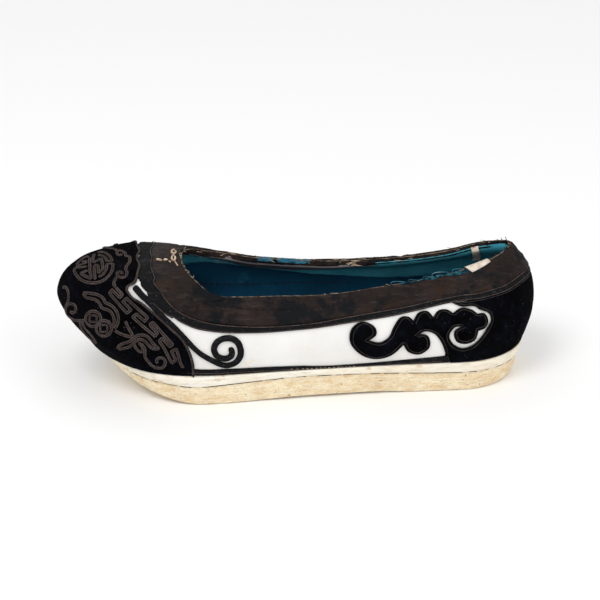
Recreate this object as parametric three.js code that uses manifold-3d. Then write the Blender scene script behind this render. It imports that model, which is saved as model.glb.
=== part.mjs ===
// Chinese embroidered cloth shoe, straight-lasted, so that either foot can wear it.
// Millimetres. +X runs from the toe to the heel, +Y across the foot, +Z up from the floor.
import * as THREE from 'three';
import { mergeVertices } from 'three/addons/utils/BufferGeometryUtils.js';
import Module from 'manifold-3d';

const wasm = await Module();
wasm.setup();

// Driving dimensions
const LENGTH = 250;
const BALL_WIDTH = 78;
const INSTEP_HEIGHT = 70;
const SOLE_STACK = 17.5;
const WALL = 2;
const TRIM = 0.9;
const GAP = 0.3;
const SOLE_LEDGE = 0.6;
const SOLE_STEP = 0.5;
const SOLE_EDGE = 1.6;
const INSOLE_THICKNESS = 1.8;
const CURL_WIDTH = 2.8;
const CURL_RADIUS = 7.3;
const BACK_STRIP_WIDTH = 7;

const HALF_BALL = BALL_WIDTH / 2;
const RISE = INSTEP_HEIGHT - SOLE_STACK;
const UPPER_DEPTH = TRIM + GAP;
const LINING_DEPTH = UPPER_DEPTH + WALL;
const INSOLE_DEPTH = LINING_DEPTH + GAP;
const FAR_AWAY = 2 * LENGTH;

// Level curves of the last, from the sole joint up to the collar edge.
// up: where the level lies between the joint (0) and the collar (1).
// toe, heel: its ends, and toeRound, heelRound: how long its rounded ends are, as shares of LENGTH.
// lead: how its points crowd towards the toe, except for EVEN_SHARE of their spacing.
// Rows: share of LENGTH, half-width as a share of HALF_BALL, height over the sole as a share of RISE.
const [ALONG, HALF_WIDTH, HEIGHT] = [0, 1, 2];
const EVEN_SHARE = 0.15;
const LEVELS = [
  { up: 0, toe: 0.092, heel: 0.98, lead: 1, toeRound: 0.16, heelRound: 0.13, rows: [
    [0.09, 0.6, 0], [0.13, 0.74, 0], [0.2, 0.89, 0.01], [0.3, 0.95, 0], [0.42, 0.9, 0], [0.55, 0.84, 0],
    [0.7, 0.8, 0], [0.82, 0.79, 0], [0.92, 0.77, 0.01], [1, 0.75, 0.03]] },
  { up: 0.12, toe: 0.008, heel: 0.992, lead: 1, toeRound: 0.12, heelRound: 0.14, rows: [
    [0, 0.5, 0.53], [0.03, 0.55, 0.4], [0.06, 0.62, 0.31], [0.13, 0.78, 0.2], [0.2, 0.91, 0.13],
    [0.3, 0.985, 0.09], [0.42, 0.94, 0.09], [0.55, 0.885, 0.09], [0.7, 0.85, 0.1], [0.82, 0.83, 0.12],
    [0.92, 0.815, 0.15], [1, 0.8, 0.17]] },
  { up: 0.3, toe: -0.003, heel: 1.003, lead: 1.05, toeRound: 0.12, heelRound: 0.15, rows: [
    [0, 0.58, 0.66], [0.03, 0.62, 0.6], [0.06, 0.7, 0.55], [0.13, 0.86, 0.45], [0.2, 0.96, 0.36],
    [0.3, 1, 0.28], [0.42, 0.96, 0.27], [0.55, 0.9, 0.27], [0.7, 0.86, 0.3], [0.82, 0.84, 0.35],
    [0.92, 0.83, 0.42], [1, 0.82, 0.45]] },
  { up: 0.72, toe: 0.026, heel: 0.992, lead: 1.4, toeRound: 0.12, heelRound: 0.14, rows: [
    [0, 0.4, 0.88], [0.03, 0.44, 0.9], [0.06, 0.5, 0.92], [0.13, 0.62, 0.92], [0.2, 0.76, 0.87],
    [0.3, 0.88, 0.73], [0.42, 0.85, 0.63], [0.55, 0.78, 0.58], [0.7, 0.72, 0.6], [0.82, 0.68, 0.67],
    [0.92, 0.64, 0.75], [1, 0.62, 0.78]] },
  { up: 1, toe: 0.252, heel: 0.96, lead: 2.4, toeRound: 0.11, heelRound: 0.1, rows: [
    [0.25, 0.78, 1], [0.28, 0.79, 0.91], [0.31, 0.78, 0.83], [0.35, 0.74, 0.78], [0.42, 0.66, 0.74],
    [0.55, 0.58, 0.71], [0.7, 0.46, 0.76], [0.82, 0.39, 0.84], [0.9, 0.36, 0.94], [0.96, 0.34, 1]] },
];
const [JOINT] = LEVELS;

// The sole's lower outline. Rows: share of LENGTH, half-width as a share of HALF_BALL.
const TREAD = { toe: 0.104, heel: 0.96, lead: 1, toeRound: 0.17, heelRound: 0.12, rows: [
  [0, 0.6], [0.13, 0.7], [0.2, 0.82], [0.3, 0.9], [0.42, 0.85], [0.55, 0.79], [0.7, 0.74], [1, 0.72]] };

// Underside: share of LENGTH, height off the floor as a share of SOLE_STACK.
// It turns up to the toe, arches under the waist, and is flat under the ball and the heel.
const UNDERSIDE = [[0.1, 0.8], [0.13, 0.6], [0.16, 0.4], [0.2, 0.22], [0.24, 0.085], [0.285, 0],
  [0.36, 0], [0.5, 0.06], [0.65, 0.055], [0.75, 0], [1, 0]];

// Line between the two sole layers: share of LENGTH, depth as a share of the sole's height there.
const LAYER_LINE = [[0.1, 0.2], [0.16, 0.36], [0.27, 0.36], [0.38, 0.28], [0.5, 0.22], [0.65, 0.26],
  [0.83, 0.33], [0.98, 0.37]];

// Trim lines on the upper: share of the way from toe to heel round the shoe, share of the way up.
const BAND_LINE = [[0, 0.938], [0.103, 0.93], [0.2, 0.913], [0.269, 0.884], [0.32, 0.82], [0.361, 0.735],
  [0.371, 0.665], [0.38, 0.608], [0.39, 0.578], [0.411, 0.553], [0.445, 0.541], [0.48, 0.546],
  [0.538, 0.578], [0.602, 0.644], [0.666, 0.699], [0.733, 0.737], [0.768, 0.738], [0.803, 0.712],
  [0.847, 0.705], [0.885, 0.73], [0.92, 0.744], [1, 0.745]];
const RIBBON_LINE = [[0, 0.918], [0.14, 0.91], [0.2, 0.894], [0.26, 0.86], [0.298, 0.806], [0.32, 0.75],
  [0.339, 0.688], [0.353, 0.615], [0.365, 0.552], [0.376, 0.507], [0.398, 0.476], [0.437, 0.47],
  [0.471, 0.477], [0.53, 0.512], [0.592, 0.564], [0.656, 0.605], [0.691, 0.641], [0.748, 0.672],
  [0.803, 0.646], [0.847, 0.64], [0.885, 0.664], [0.92, 0.68], [1, 0.682]];
const BASE_LINE = [[0.28, 0.115], [0.37, 0.104], [0.45, 0.085], [0.53, 0.045], [0.6, 0.052],
  [0.66, 0.068], [0.75, 0.1]];
const BASE_END = 0.797;

// Outlines of the velvet pieces, seen from the side: share of LENGTH, share of RISE above the sole.
// Each run is smooth, and the outline has a corner where one run ends and the next begins.
const CAP_FOOT = 0.277;
const CAP_REAR = [
  [[0.2765, 0.148], [0.2695, 0.286], [0.256, 0.413], [0.231, 0.53], [0.202, 0.655], [0.177, 0.752],
    [0.157, 0.805], [0.145, 0.87]],
  [[0.147, 0.9], [0.157, 0.925], [0.163, 0.945], [0.166, 0.962], [0.17, 0.976], [0.176, 0.983],
    [0.177, 1.3]],
];
const CLOUD_START = [0.815, 0.64];
const CLOUD = [
  // Outer side of the channel round the cloud's head, to the tip of its curl
  [[0.835, 0.606], [0.86, 0.606], [0.872, 0.572]],
  [[0.892, 0.53], [0.897, 0.45], [0.889, 0.375]],
  [[0.879, 0.3], [0.862, 0.205], [0.838, 0.163], [0.816, 0.22], [0.807, 0.32], [0.82, 0.41],
    [0.839, 0.411]],
  // Inner side of the channel, back round the head
  [[0.82, 0.36], [0.824, 0.26], [0.843, 0.225], [0.862, 0.265], [0.868, 0.365]],
  [[0.882, 0.385], [0.889, 0.45], [0.882, 0.52], [0.867, 0.522]],
  // Three humps along the top
  [[0.854, 0.565], [0.834, 0.583], [0.816, 0.535]],
  [[0.803, 0.57], [0.786, 0.562], [0.775, 0.498]],
  [[0.762, 0.56], [0.744, 0.545], [0.734, 0.471]],
  // Neck, down into the left curl
  [[0.722, 0.515], [0.706, 0.508], [0.693, 0.427], [0.682, 0.322], [0.662, 0.272], [0.637, 0.303]],
  [[0.654, 0.36], [0.65, 0.44], [0.626, 0.488], [0.604, 0.42], [0.603, 0.28], [0.626, 0.15],
    [0.656, 0.094], [0.687, 0.13], [0.713, 0.251]],
  // Small curl under the neck
  [[0.724, 0.16], [0.747, 0.127], [0.766, 0.2], [0.764, 0.31], [0.75, 0.34], [0.739, 0.322]],
  [[0.756, 0.378], [0.779, 0.345], [0.795, 0.23], [0.803, 0.11]],
];

// Black strip from the cap down to its curl: share of LENGTH, share of RISE, share of CURL_WIDTH.
const CURL_PATH = [[0.156, 0.872, 0.35], [0.178, 0.802, 0.35], [0.204, 0.703, 0.45], [0.226, 0.605, 0.6],
  [0.246, 0.51, 0.85], [0.264, 0.431, 1], [0.284, 0.322, 1], [0.298, 0.244, 1], [0.318, 0.175, 1]];
const CURL_CENTRE = [0.3465, 0.275];
const CURL_ENTRY = -108;
const CURL_TURN = 485;
const CURL_STEPS = 24;
const CURL_INNER = 0.3;
const CURL_TIGHTENS = 0.55;

// Facets: spans round half the shoe (from, to, steps), and rows up the upper
const SPANS = [[0, 0.27, 7], [0.27, 0.43, 8], [0.43, 0.9, 12], [0.9, 1, 4]];
const UPPER_ROWS = [0, 0.06, 0.14, 0.25, 0.38, 0.5, 0.62, 0.73, 0.84, 0.92, 1];
const BAND_ROWS = [0, 0.25, 0.5, 0.75, 1];
const RIBBON_ROWS = [0, 0.5, 1];
const ROOM_ROWS = [0, 0.25, 0.5, 0.75, 1];
const CURVE_SEGMENTS = 2;
const PROBE = 0.002;
const NUDGE = 1e-6;

// How far each trim sheet runs before it is cut: round half the shoe, and up the upper
const CAP_REACH = 0.43;
const CAP_TOP = 0.95;
const COUNTER_REACH = 0.56;
const COUNTER_TOP = 0.84;
const BACK_REACH = 0.9;
const CURL_REACH = [0.27, 0.6];
const BASE_REACH = [0.26, 0.8];

function easeThrough(rows, column, x) {
  // Monotone cubic through one column of a table
  const last = rows.length - 1;
  if (x <= rows[0][ALONG]) return rows[0][column];
  if (x >= rows[last][ALONG]) return rows[last][column];
  const slope = (i) => (rows[i + 1][column] - rows[i][column]) / (rows[i + 1][ALONG] - rows[i][ALONG]);
  const tangent = (i) => {
    if (i === 0) return slope(0);
    if (i === last) return slope(last - 1);
    const [before, after] = [slope(i - 1), slope(i)];
    return before * after <= 0 ? 0 : (2 * before * after) / (before + after);
  };
  const i = rows.findIndex((row, k) => k < last && x < rows[k + 1][ALONG]);
  const span = rows[i + 1][ALONG] - rows[i][ALONG];
  return hermite(rows[i][column], tangent(i) * span, rows[i + 1][column], tangent(i + 1) * span,
    (x - rows[i][ALONG]) / span);
}

function hermite(a, da, b, db, s) {
  return (2 * s ** 3 - 3 * s ** 2 + 1) * a + (s ** 3 - 2 * s ** 2 + s) * da
    + (3 * s ** 2 - 2 * s ** 3) * b + (s ** 3 - s ** 2) * db;
}

function levelPoint(level, t) {
  // Along, half-width and height of a level at t, from the toe's centre (0) to the heel's (1)
  const even = (1 - Math.cos(Math.PI * t)) / 2;
  const led = even * (EVEN_SHARE + (1 - EVEN_SHARE) * even ** (level.lead - 1));
  const x = level.toe + (level.heel - level.toe) * led;
  const rounding = (past, long) => Math.sqrt(Math.max(0, 1 - Math.max(0, 1 - past / long) ** 2));
  const round = rounding(x - level.toe, level.toeRound) * rounding(level.heel - x, level.heelRound);
  return { x, half: round * easeThrough(level.rows, HALF_WIDTH, x) * HALF_BALL };
}

function soleTop(x) {
  return SOLE_STACK + easeThrough(JOINT.rows, HEIGHT, x) * RISE;
}

function lastPoint(t, v, side) {
  // The shoe's outermost surface: t runs from toe to heel, v from the sole joint to the collar edge
  const points = LEVELS.map((level) => {
    const { x, half } = levelPoint(level, t);
    const height = easeThrough(level.rows, HEIGHT, x) * RISE;
    return new THREE.Vector3(x * LENGTH, side * half, SOLE_STACK + GAP + height);
  });
  const last = LEVELS.length - 1;
  const i = Math.max(0, Math.min(last - 1, LEVELS.findIndex((level) => level.up > v) - 1));
  const j = v >= 1 ? last - 1 : i;
  const reach = (k) => Math.sqrt(Math.max(NUDGE, points[k].distanceTo(points[k + 1])));
  const tangent = (k, axis) => {
    const rate = (a, b, run) => (points[b].getComponent(axis) - points[a].getComponent(axis)) / run;
    if (k === 0) return rate(0, 1, reach(0));
    if (k === last) return rate(last - 1, last, reach(last - 1));
    return rate(k - 1, k, reach(k - 1)) + rate(k, k + 1, reach(k))
      - rate(k - 1, k + 1, reach(k - 1) + reach(k));
  };
  const s = (v - LEVELS[j].up) / (LEVELS[j + 1].up - LEVELS[j].up);
  const value = (axis) => hermite(points[j].getComponent(axis), tangent(j, axis) * reach(j),
    points[j + 1].getComponent(axis), tangent(j + 1, axis) * reach(j), s);
  return new THREE.Vector3(value(0), value(1), value(2));
}

function around(u) {
  // u from 0 to 2 runs down one side from the toe to the heel and back along the other
  const turn = ((u % 2) + 2) % 2;
  return turn <= 1 ? { t: turn, side: -1 } : { t: 2 - turn, side: 1 };
}

function surfaceAt(u, v) {
  const { t, side } = around(u);
  return lastPoint(t, v, side);
}

function skinPoint(u, v, depth) {
  // A point this deep under the outermost surface; at the sole joint it stays on the sole's top
  const level = Math.min(1, v);
  const along = surfaceAt(u + PROBE, level).sub(surfaceAt(u - PROBE, level));
  const upward = surfaceAt(u, Math.min(1, level + PROBE)).sub(surfaceAt(u, Math.max(0, level - PROBE)));
  const normal = along.cross(upward);
  if (v === 0) normal.z = 0;
  const point = surfaceAt(u, v).addScaledVector(normal.normalize(), -depth);
  if (v === 0) point.z = soleTop(point.x / LENGTH) + GAP;
  return point;
}

function halfStations() {
  const stations = [0];
  for (const [from, to, steps] of SPANS) {
    for (let k = 1; k <= steps; k += 1) stations.push(from + ((to - from) * k) / steps);
  }
  return stations;
}

const HALF_RING = halfStations();
const RING = [...HALF_RING, ...HALF_RING.slice(1, -1).reverse().map((t) => 2 - t)];

function closedGeometry(points, faces) {
  const geometry = new THREE.BufferGeometry();
  const flat = points.flatMap((point) => [point.x, point.y, point.z]);
  geometry.setAttribute('position', new THREE.Float32BufferAttribute(flat, 3));
  geometry.setIndex(faces.flat());
  return geometry;
}

function sheet({ stations, low, high, rows, outer, inner }) {
  // A curved sheet between two depths under the surface; it closes on itself round the whole shoe
  const closed = stations === RING;
  const columns = stations.length;
  const levels = rows.length;
  const points = [];
  for (const depth of [outer, inner]) {
    for (const u of stations) {
      const { t } = around(u);
      for (const row of rows) points.push(skinPoint(u, low(t) + (high(t) - low(t)) * row, depth));
    }
  }
  const out = (i, j) => (i % columns) * levels + j;
  const back = (i, j) => columns * levels + out(i, j);
  const faces = [];
  const quad = (a, b, c, d, mirrored = false) => {
    if (mirrored) faces.push([b, c, d], [b, d, a]);
    else faces.push([a, b, c], [a, c, d]);
  };
  const spans = closed ? columns : columns - 1;
  const top = levels - 1;
  for (let i = 0; i < spans; i += 1) {
    const farSide = around(stations[i] + NUDGE).side > 0;
    for (let j = 0; j < top; j += 1) {
      quad(out(i, j), out(i + 1, j), out(i + 1, j + 1), out(i, j + 1), farSide);
      quad(back(i, j), back(i, j + 1), back(i + 1, j + 1), back(i + 1, j), farSide);
    }
    quad(out(i, 0), back(i, 0), back(i + 1, 0), out(i + 1, 0));
    quad(out(i, top), out(i + 1, top), back(i + 1, top), back(i, top));
  }
  if (!closed) {
    for (let j = 0; j < top; j += 1) {
      quad(out(0, j), out(0, j + 1), back(0, j + 1), back(0, j));
      quad(out(spans, j), back(spans, j), back(spans, j + 1), out(spans, j + 1));
    }
  }
  return closedGeometry(points, faces);
}

function slab(rings) {
  // A solid through rings of points, lowest first, closed across the foot at its top and bottom
  const columns = RING.length;
  const points = rings.flat();
  const at = (i, k) => (i % columns) + k * columns;
  const faces = [];
  for (let k = 0; k < rings.length - 1; k += 1) {
    for (let i = 0; i < columns; i += 1) {
      faces.push([at(i, k), at(i + 1, k), at(i + 1, k + 1)], [at(i, k), at(i + 1, k + 1), at(i, k + 1)]);
    }
  }
  const top = rings.length - 1;
  const half = columns / 2;
  for (let i = 0; i < half; i += 1) {
    const [a, b, c, d] = [i, i + 1, columns - i - 1, columns - i];
    if (b !== c) faces.push([at(a, top), at(b, top), at(c, top)], [at(a, 0), at(c, 0), at(b, 0)]);
    if (i > 0) faces.push([at(a, top), at(c, top), at(d, top)], [at(a, 0), at(d, 0), at(c, 0)]);
  }
  return closedGeometry(points, faces);
}

// Booleans
function toSolid(geometry) {
  const bare = geometry.clone();
  bare.deleteAttribute('normal');
  bare.deleteAttribute('uv');
  const merged = mergeVertices(bare);
  return new wasm.Manifold(new wasm.Mesh({
    numProp: 3,
    vertProperties: new Float32Array(merged.attributes.position.array),
    triVerts: new Uint32Array(merged.index.array),
  }));
}

function toGeometry(solid) {
  const mesh = solid.getMesh();
  const geometry = new THREE.BufferGeometry();
  geometry.setAttribute('position', new THREE.BufferAttribute(mesh.vertProperties, 3));
  geometry.setIndex(new THREE.BufferAttribute(mesh.triVerts, 1));
  return geometry;
}

function prism(shape, side) {
  // A side-view outline carried across one side of the shoe
  const geometry = new THREE.ExtrudeGeometry(shape, {
    depth: BALL_WIDTH, bevelEnabled: false, curveSegments: CURVE_SEGMENTS,
  });
  geometry.rotateX(Math.PI / 2);
  if (side > 0) geometry.translate(0, BALL_WIDTH, 0);
  return toSolid(geometry);
}

function block(lowX, highX, halfY) {
  const geometry = new THREE.BoxGeometry(highX - lowX, 2 * halfY, FAR_AWAY);
  geometry.translate((lowX + highX) / 2, 0, 0);
  return toSolid(geometry);
}

const sideX = (share) => share * LENGTH;
const sideZ = (share) => SOLE_STACK + GAP + share * RISE;
const sidePoint = ([along, height]) => new THREE.Vector2(sideX(along), sideZ(height));

function addRuns(shape, runs) {
  for (const run of runs) shape.splineThru(run.map(sidePoint));
}

// Stations and rows that the trim shares with the upper, so that their facets run parallel
const between = (from, to) => HALF_RING.filter((t) => t >= from && t <= to);
const onSide = (stations, side) => (side < 0 ? stations : stations.map((t) => 2 - t).reverse());
const whole = { low: () => 0, high: () => 1 };
const trim = { outer: 0, inner: TRIM };
const COLLAR_CLEAR = 1.02;

const lineAt = (line) => (t) => easeThrough(line, 1, t);
const justUnder = (line) => (t) => easeThrough(line, 1, t) - GAP / RISE;

function roomBetween(low, high) {
  // The space between two lines round the upper, with room to spare in depth
  const depths = { outer: -TRIM, inner: UPPER_DEPTH };
  return toSolid(sheet({ stations: RING, low, high, rows: ROOM_ROWS, ...depths }));
}

const trimRoom = roomBetween(justUnder(RIBBON_LINE), () => COLLAR_CLEAR);

function trimShell(stations, from, to) {
  const rows = UPPER_ROWS.filter((row) => row >= from && row <= to);
  return toSolid(sheet({ stations, ...whole, rows, ...trim }));
}

function capShape(clearance) {
  const shape = new THREE.Shape();
  shape.moveTo(-FAR_AWAY, -FAR_AWAY);
  shape.lineTo(sideX(CAP_FOOT), -FAR_AWAY);
  shape.lineTo(sideX(CAP_FOOT), sideZ(0));
  addRuns(shape, CAP_REAR);
  shape.lineTo(sideX(CAP_REAR[1].at(-1)[ALONG]), FAR_AWAY);
  shape.lineTo(-FAR_AWAY, FAR_AWAY);
  shape.closePath();
  if (clearance === 0) return shape;
  const backwards = new THREE.Vector2(clearance, 0);
  return new THREE.Shape(shape.getPoints(CURVE_SEGMENTS).map((point) => point.add(backwards)));
}

function cloudShape() {
  // Heel counter and cloud scroll in one piece of velvet
  const shape = new THREE.Shape();
  shape.moveTo(...sidePoint(CLOUD_START).toArray());
  addRuns(shape, CLOUD);
  shape.lineTo(sideX(BASE_END) + GAP, sideZ(BASE_LINE.at(-1)[1]));
  shape.lineTo(sideX(BASE_END) + GAP, -FAR_AWAY);
  shape.lineTo(FAR_AWAY, -FAR_AWAY);
  shape.lineTo(FAR_AWAY, FAR_AWAY);
  shape.lineTo(sideX(CLOUD_START[ALONG]), FAR_AWAY);
  shape.closePath();
  return shape;
}

function curlShape() {
  // The strip's middle line runs down from the cap, then winds inwards round its centre
  const middle = CURL_PATH.map(([along, height, width]) => ({ at: sidePoint([along, height]), width }));
  const centre = sidePoint(CURL_CENTRE);
  for (let k = 0; k <= CURL_STEPS; k += 1) {
    const done = k / CURL_STEPS;
    const angle = THREE.MathUtils.degToRad(CURL_ENTRY + CURL_TURN * done);
    const inward = THREE.MathUtils.smoothstep(done, CURL_TIGHTENS, 1);
    const radius = CURL_RADIUS * (1 - (1 - CURL_INNER) * inward);
    const at = new THREE.Vector2(Math.cos(angle), Math.sin(angle)).multiplyScalar(radius).add(centre);
    middle.push({ at, width: 1 });
  }
  const edge = (side) => middle.map(({ at, width }, k) => {
    const ahead = middle[Math.min(k + 1, middle.length - 1)].at;
    const behind = middle[Math.max(k - 1, 0)].at;
    const across = ahead.clone().sub(behind).normalize().rotateAround(new THREE.Vector2(), Math.PI / 2);
    return at.clone().addScaledVector(across, (side * width * CURL_WIDTH) / 2);
  });
  return new THREE.Shape([...edge(-1), ...edge(1).reverse()]);
}

// Sub-parts
function makeUpper() {
  return sheet({ stations: RING, ...whole, rows: UPPER_ROWS, outer: UPPER_DEPTH, inner: LINING_DEPTH });
}

function makeToeCap() {
  const front = between(0, CAP_REACH);
  const stations = [...onSide(front, 1).map((u) => u - 2), ...front.slice(1)];
  const shell = trimShell(stations, 0, CAP_TOP);
  const shape = capShape(0);
  const region = prism(shape, -1).add(prism(shape, 1));
  return toGeometry(shell.intersect(region).subtract(trimRoom));
}

function makeHeelCounter(side) {
  const stations = onSide(between(COUNTER_REACH, 1), side);
  const shell = trimShell(stations, 0, COUNTER_TOP);
  const seam = block(0, FAR_AWAY, BACK_STRIP_WIDTH / 2 + GAP);
  return toGeometry(shell.intersect(prism(cloudShape(), side)).subtract(trimRoom).subtract(seam));
}

function makeBackStrip() {
  const back = between(BACK_REACH, 1);
  const stations = [...back, ...onSide(back, 1).slice(1)];
  const shell = trimShell(stations, 0, COUNTER_TOP);
  return toGeometry(shell.intersect(block(0, FAR_AWAY, BACK_STRIP_WIDTH / 2)).subtract(trimRoom));
}

function makeCollarBand() {
  return sheet({ stations: RING, low: lineAt(BAND_LINE), high: () => 1, rows: BAND_ROWS, ...trim });
}

function makeEdgeRibbon() {
  const lines = { low: lineAt(RIBBON_LINE), high: justUnder(BAND_LINE) };
  return sheet({ stations: RING, ...lines, rows: RIBBON_ROWS, ...trim });
}

function makeCurlStrip(side) {
  const stations = onSide(between(...CURL_REACH), side);
  const shell = trimShell(stations, 0, COUNTER_TOP);
  const strip = shell.intersect(prism(curlShape(), side));
  return toGeometry(strip.subtract(trimRoom).subtract(prism(capShape(2 * GAP), side)));
}

function makeBaseStrip(side) {
  const stations = onSide(between(...BASE_REACH), side);
  const shell = toSolid(sheet({
    stations, low: () => 0, high: lineAt(BASE_LINE), rows: RIBBON_ROWS, ...trim,
  }));
  return toGeometry(shell.intersect(block(sideX(CAP_FOOT) + GAP, sideX(BASE_END), BALL_WIDTH)));
}

function jointPlan(u) {
  // The sole joint seen from above
  const { t, side } = around(u);
  const { x, half } = levelPoint(JOINT, t);
  return new THREE.Vector2(x * LENGTH, side * half);
}

function soleRing(share, outset, drop = 0) {
  // A ring round the sole: share of the way down its side, and how far it stands out
  return RING.map((u) => {
    const { t, side } = around(u);
    const joint = jointPlan(u);
    const topAt = new THREE.Vector3(joint.x, joint.y, soleTop(joint.x / LENGTH));
    const low = levelPoint(TREAD, t);
    const lowHeight = easeThrough(UNDERSIDE, 1, low.x) * SOLE_STACK;
    const lowAt = new THREE.Vector3(low.x * LENGTH, side * low.half, lowHeight);
    const down = share(topAt.x / LENGTH) + drop / (topAt.z - lowAt.z);
    const point = topAt.clone().lerp(lowAt, down);
    const along = jointPlan(u + PROBE).sub(jointPlan(u - PROBE)).normalize();
    return point.add(new THREE.Vector3(along.y, -along.x, 0).multiplyScalar(outset));
  });
}

const layerShare = (x) => easeThrough(LAYER_LINE, 1, x);

function makeMidsole() {
  return slab([
    soleRing(layerShare, SOLE_LEDGE, -GAP / 2),
    soleRing((x) => layerShare(x) / 2, SOLE_LEDGE + SOLE_STEP / 2),
    soleRing(() => 0, SOLE_LEDGE),
  ]);
}

function makeOutsole() {
  const inset = SOLE_LEDGE - SOLE_STEP;
  const middle = (x) => (1 + layerShare(x)) / 2;
  return slab([
    soleRing(() => 1, inset - SOLE_EDGE),
    soleRing(() => 1, inset, -SOLE_EDGE),
    soleRing(middle, inset + SOLE_STEP),
    soleRing(layerShare, inset, GAP / 2),
  ]);
}

function makeInsole() {
  const foot = RING.map((u) => skinPoint(u, 0, INSOLE_DEPTH));
  const raised = foot.map((point) => point.clone().setZ(point.z + INSOLE_THICKNESS));
  return slab([foot, raised]);
}

const CLOTH = {
  whiteCotton: { color: 0xe9e4da, roughness: 0.9 },
  blackVelvet: { color: 0x0b0b10, roughness: 0.95 },
  brownSatin: { color: 0x33241f, roughness: 0.55 },
  blackRibbon: { color: 0x15161a, roughness: 0.7 },
  boundSole: { color: 0xf1ead9, roughness: 0.85 },
  layeredSole: { color: 0xe3cfa2, roughness: 0.95 },
  insoleCotton: { color: 0x2a3a44, roughness: 0.9 },
};

const shoe = new THREE.Group();

function addPart(name, geometry, cloth) {
  const mesh = new THREE.Mesh(geometry, new THREE.MeshStandardMaterial({ ...cloth, metalness: 0 }));
  mesh.name = name;
  shoe.add(mesh);
}

addPart('outsole', makeOutsole(), CLOTH.layeredSole);
addPart('midsole', makeMidsole(), CLOTH.boundSole);
addPart('insole', makeInsole(), CLOTH.insoleCotton);
addPart('upper', makeUpper(), CLOTH.whiteCotton);
addPart('toe_cap', makeToeCap(), CLOTH.blackVelvet);
addPart('collar_band', makeCollarBand(), CLOTH.brownSatin);
addPart('edge_ribbon', makeEdgeRibbon(), CLOTH.blackRibbon);
addPart('back_strip', makeBackStrip(), CLOTH.brownSatin);
for (const [hand, side] of [['near', -1], ['far', 1]]) {
  addPart(`heel_counter_${hand}`, makeHeelCounter(side), CLOTH.blackVelvet);
  addPart(`curl_strip_${hand}`, makeCurlStrip(side), CLOTH.blackRibbon);
  addPart(`base_strip_${hand}`, makeBaseStrip(side), CLOTH.blackRibbon);
}

// The origin is on the floor, under the middle of the shoe
const reach = new THREE.Box3().setFromObject(shoe);
shoe.position.set(-(reach.min.x + reach.max.x) / 2, 0, -reach.min.z);

export default shoe;
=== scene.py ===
import math

import bpy
import numpy as np
from mathutils import Matrix, Vector, noise
from mathutils.geometry import delaunay_2d_cdt


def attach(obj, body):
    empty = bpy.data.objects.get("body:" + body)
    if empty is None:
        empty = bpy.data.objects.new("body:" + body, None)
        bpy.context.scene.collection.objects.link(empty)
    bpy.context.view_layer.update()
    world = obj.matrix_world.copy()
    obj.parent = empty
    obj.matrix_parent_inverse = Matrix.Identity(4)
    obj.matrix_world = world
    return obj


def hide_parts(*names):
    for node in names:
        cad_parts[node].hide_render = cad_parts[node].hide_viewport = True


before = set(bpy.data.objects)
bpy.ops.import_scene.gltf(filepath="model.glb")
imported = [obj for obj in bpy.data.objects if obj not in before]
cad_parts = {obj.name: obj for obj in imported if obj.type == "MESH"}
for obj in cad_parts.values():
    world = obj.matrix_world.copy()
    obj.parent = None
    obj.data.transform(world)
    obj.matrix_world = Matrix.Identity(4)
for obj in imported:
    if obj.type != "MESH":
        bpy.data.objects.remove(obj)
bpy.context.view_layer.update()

# Looks of a Chinese embroidered cloth shoe. Sizes are in millimetres, in the row frame:
# +X runs from the toe to the heel, +Y across the foot, +Z up from the floor.
MM = 0.001

# Driving sizes, as in the part's source
LENGTH = 250
BALL_WIDTH = 78
INSTEP_HEIGHT = 70
SOLE_STACK = 17.5
TRIM = 0.9
GAP = 0.3
WALL = 2
LINING = 0.6
SOLE_LEDGE = 0.6
SOLE_EDGE = 1.6
INSOLE_THICKNESS = 1.8
CURL_WIDTH = 2.8
BACK_STRIP_WIDTH = 7
BRAID_WIDTH = 1.7
BRAID_HEIGHT = 0.6
BRAID_BASE = 0.15
GROOVE_WIDTH = 0.52
GROOVE_HEIGHT = 0.44
PIPING_WIDTH = 1.1

HALF_BALL = BALL_WIDTH / 2
RISE = INSTEP_HEIGHT - SOLE_STACK
MIDDLE = LENGTH / 2
UPPER_DEPTH = TRIM + GAP
LINING_DEPTH = UPPER_DEPTH + WALL

# The photograph's camera, worked out from the outlines of sole, toe, collar and heel
ELEVATION = math.radians(26)
YAW = math.radians(4)
DISTANCE = 1200
PIXELS = 600
PIXELS_PER_MM = 1.886
AIM = np.array([0.0, 0.0, 35.0])
AIM_PIXEL = (295.8, 369.0)
RENDER_AIM_PIXEL = (297.0, 312.0)
SENSOR = 36

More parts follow.
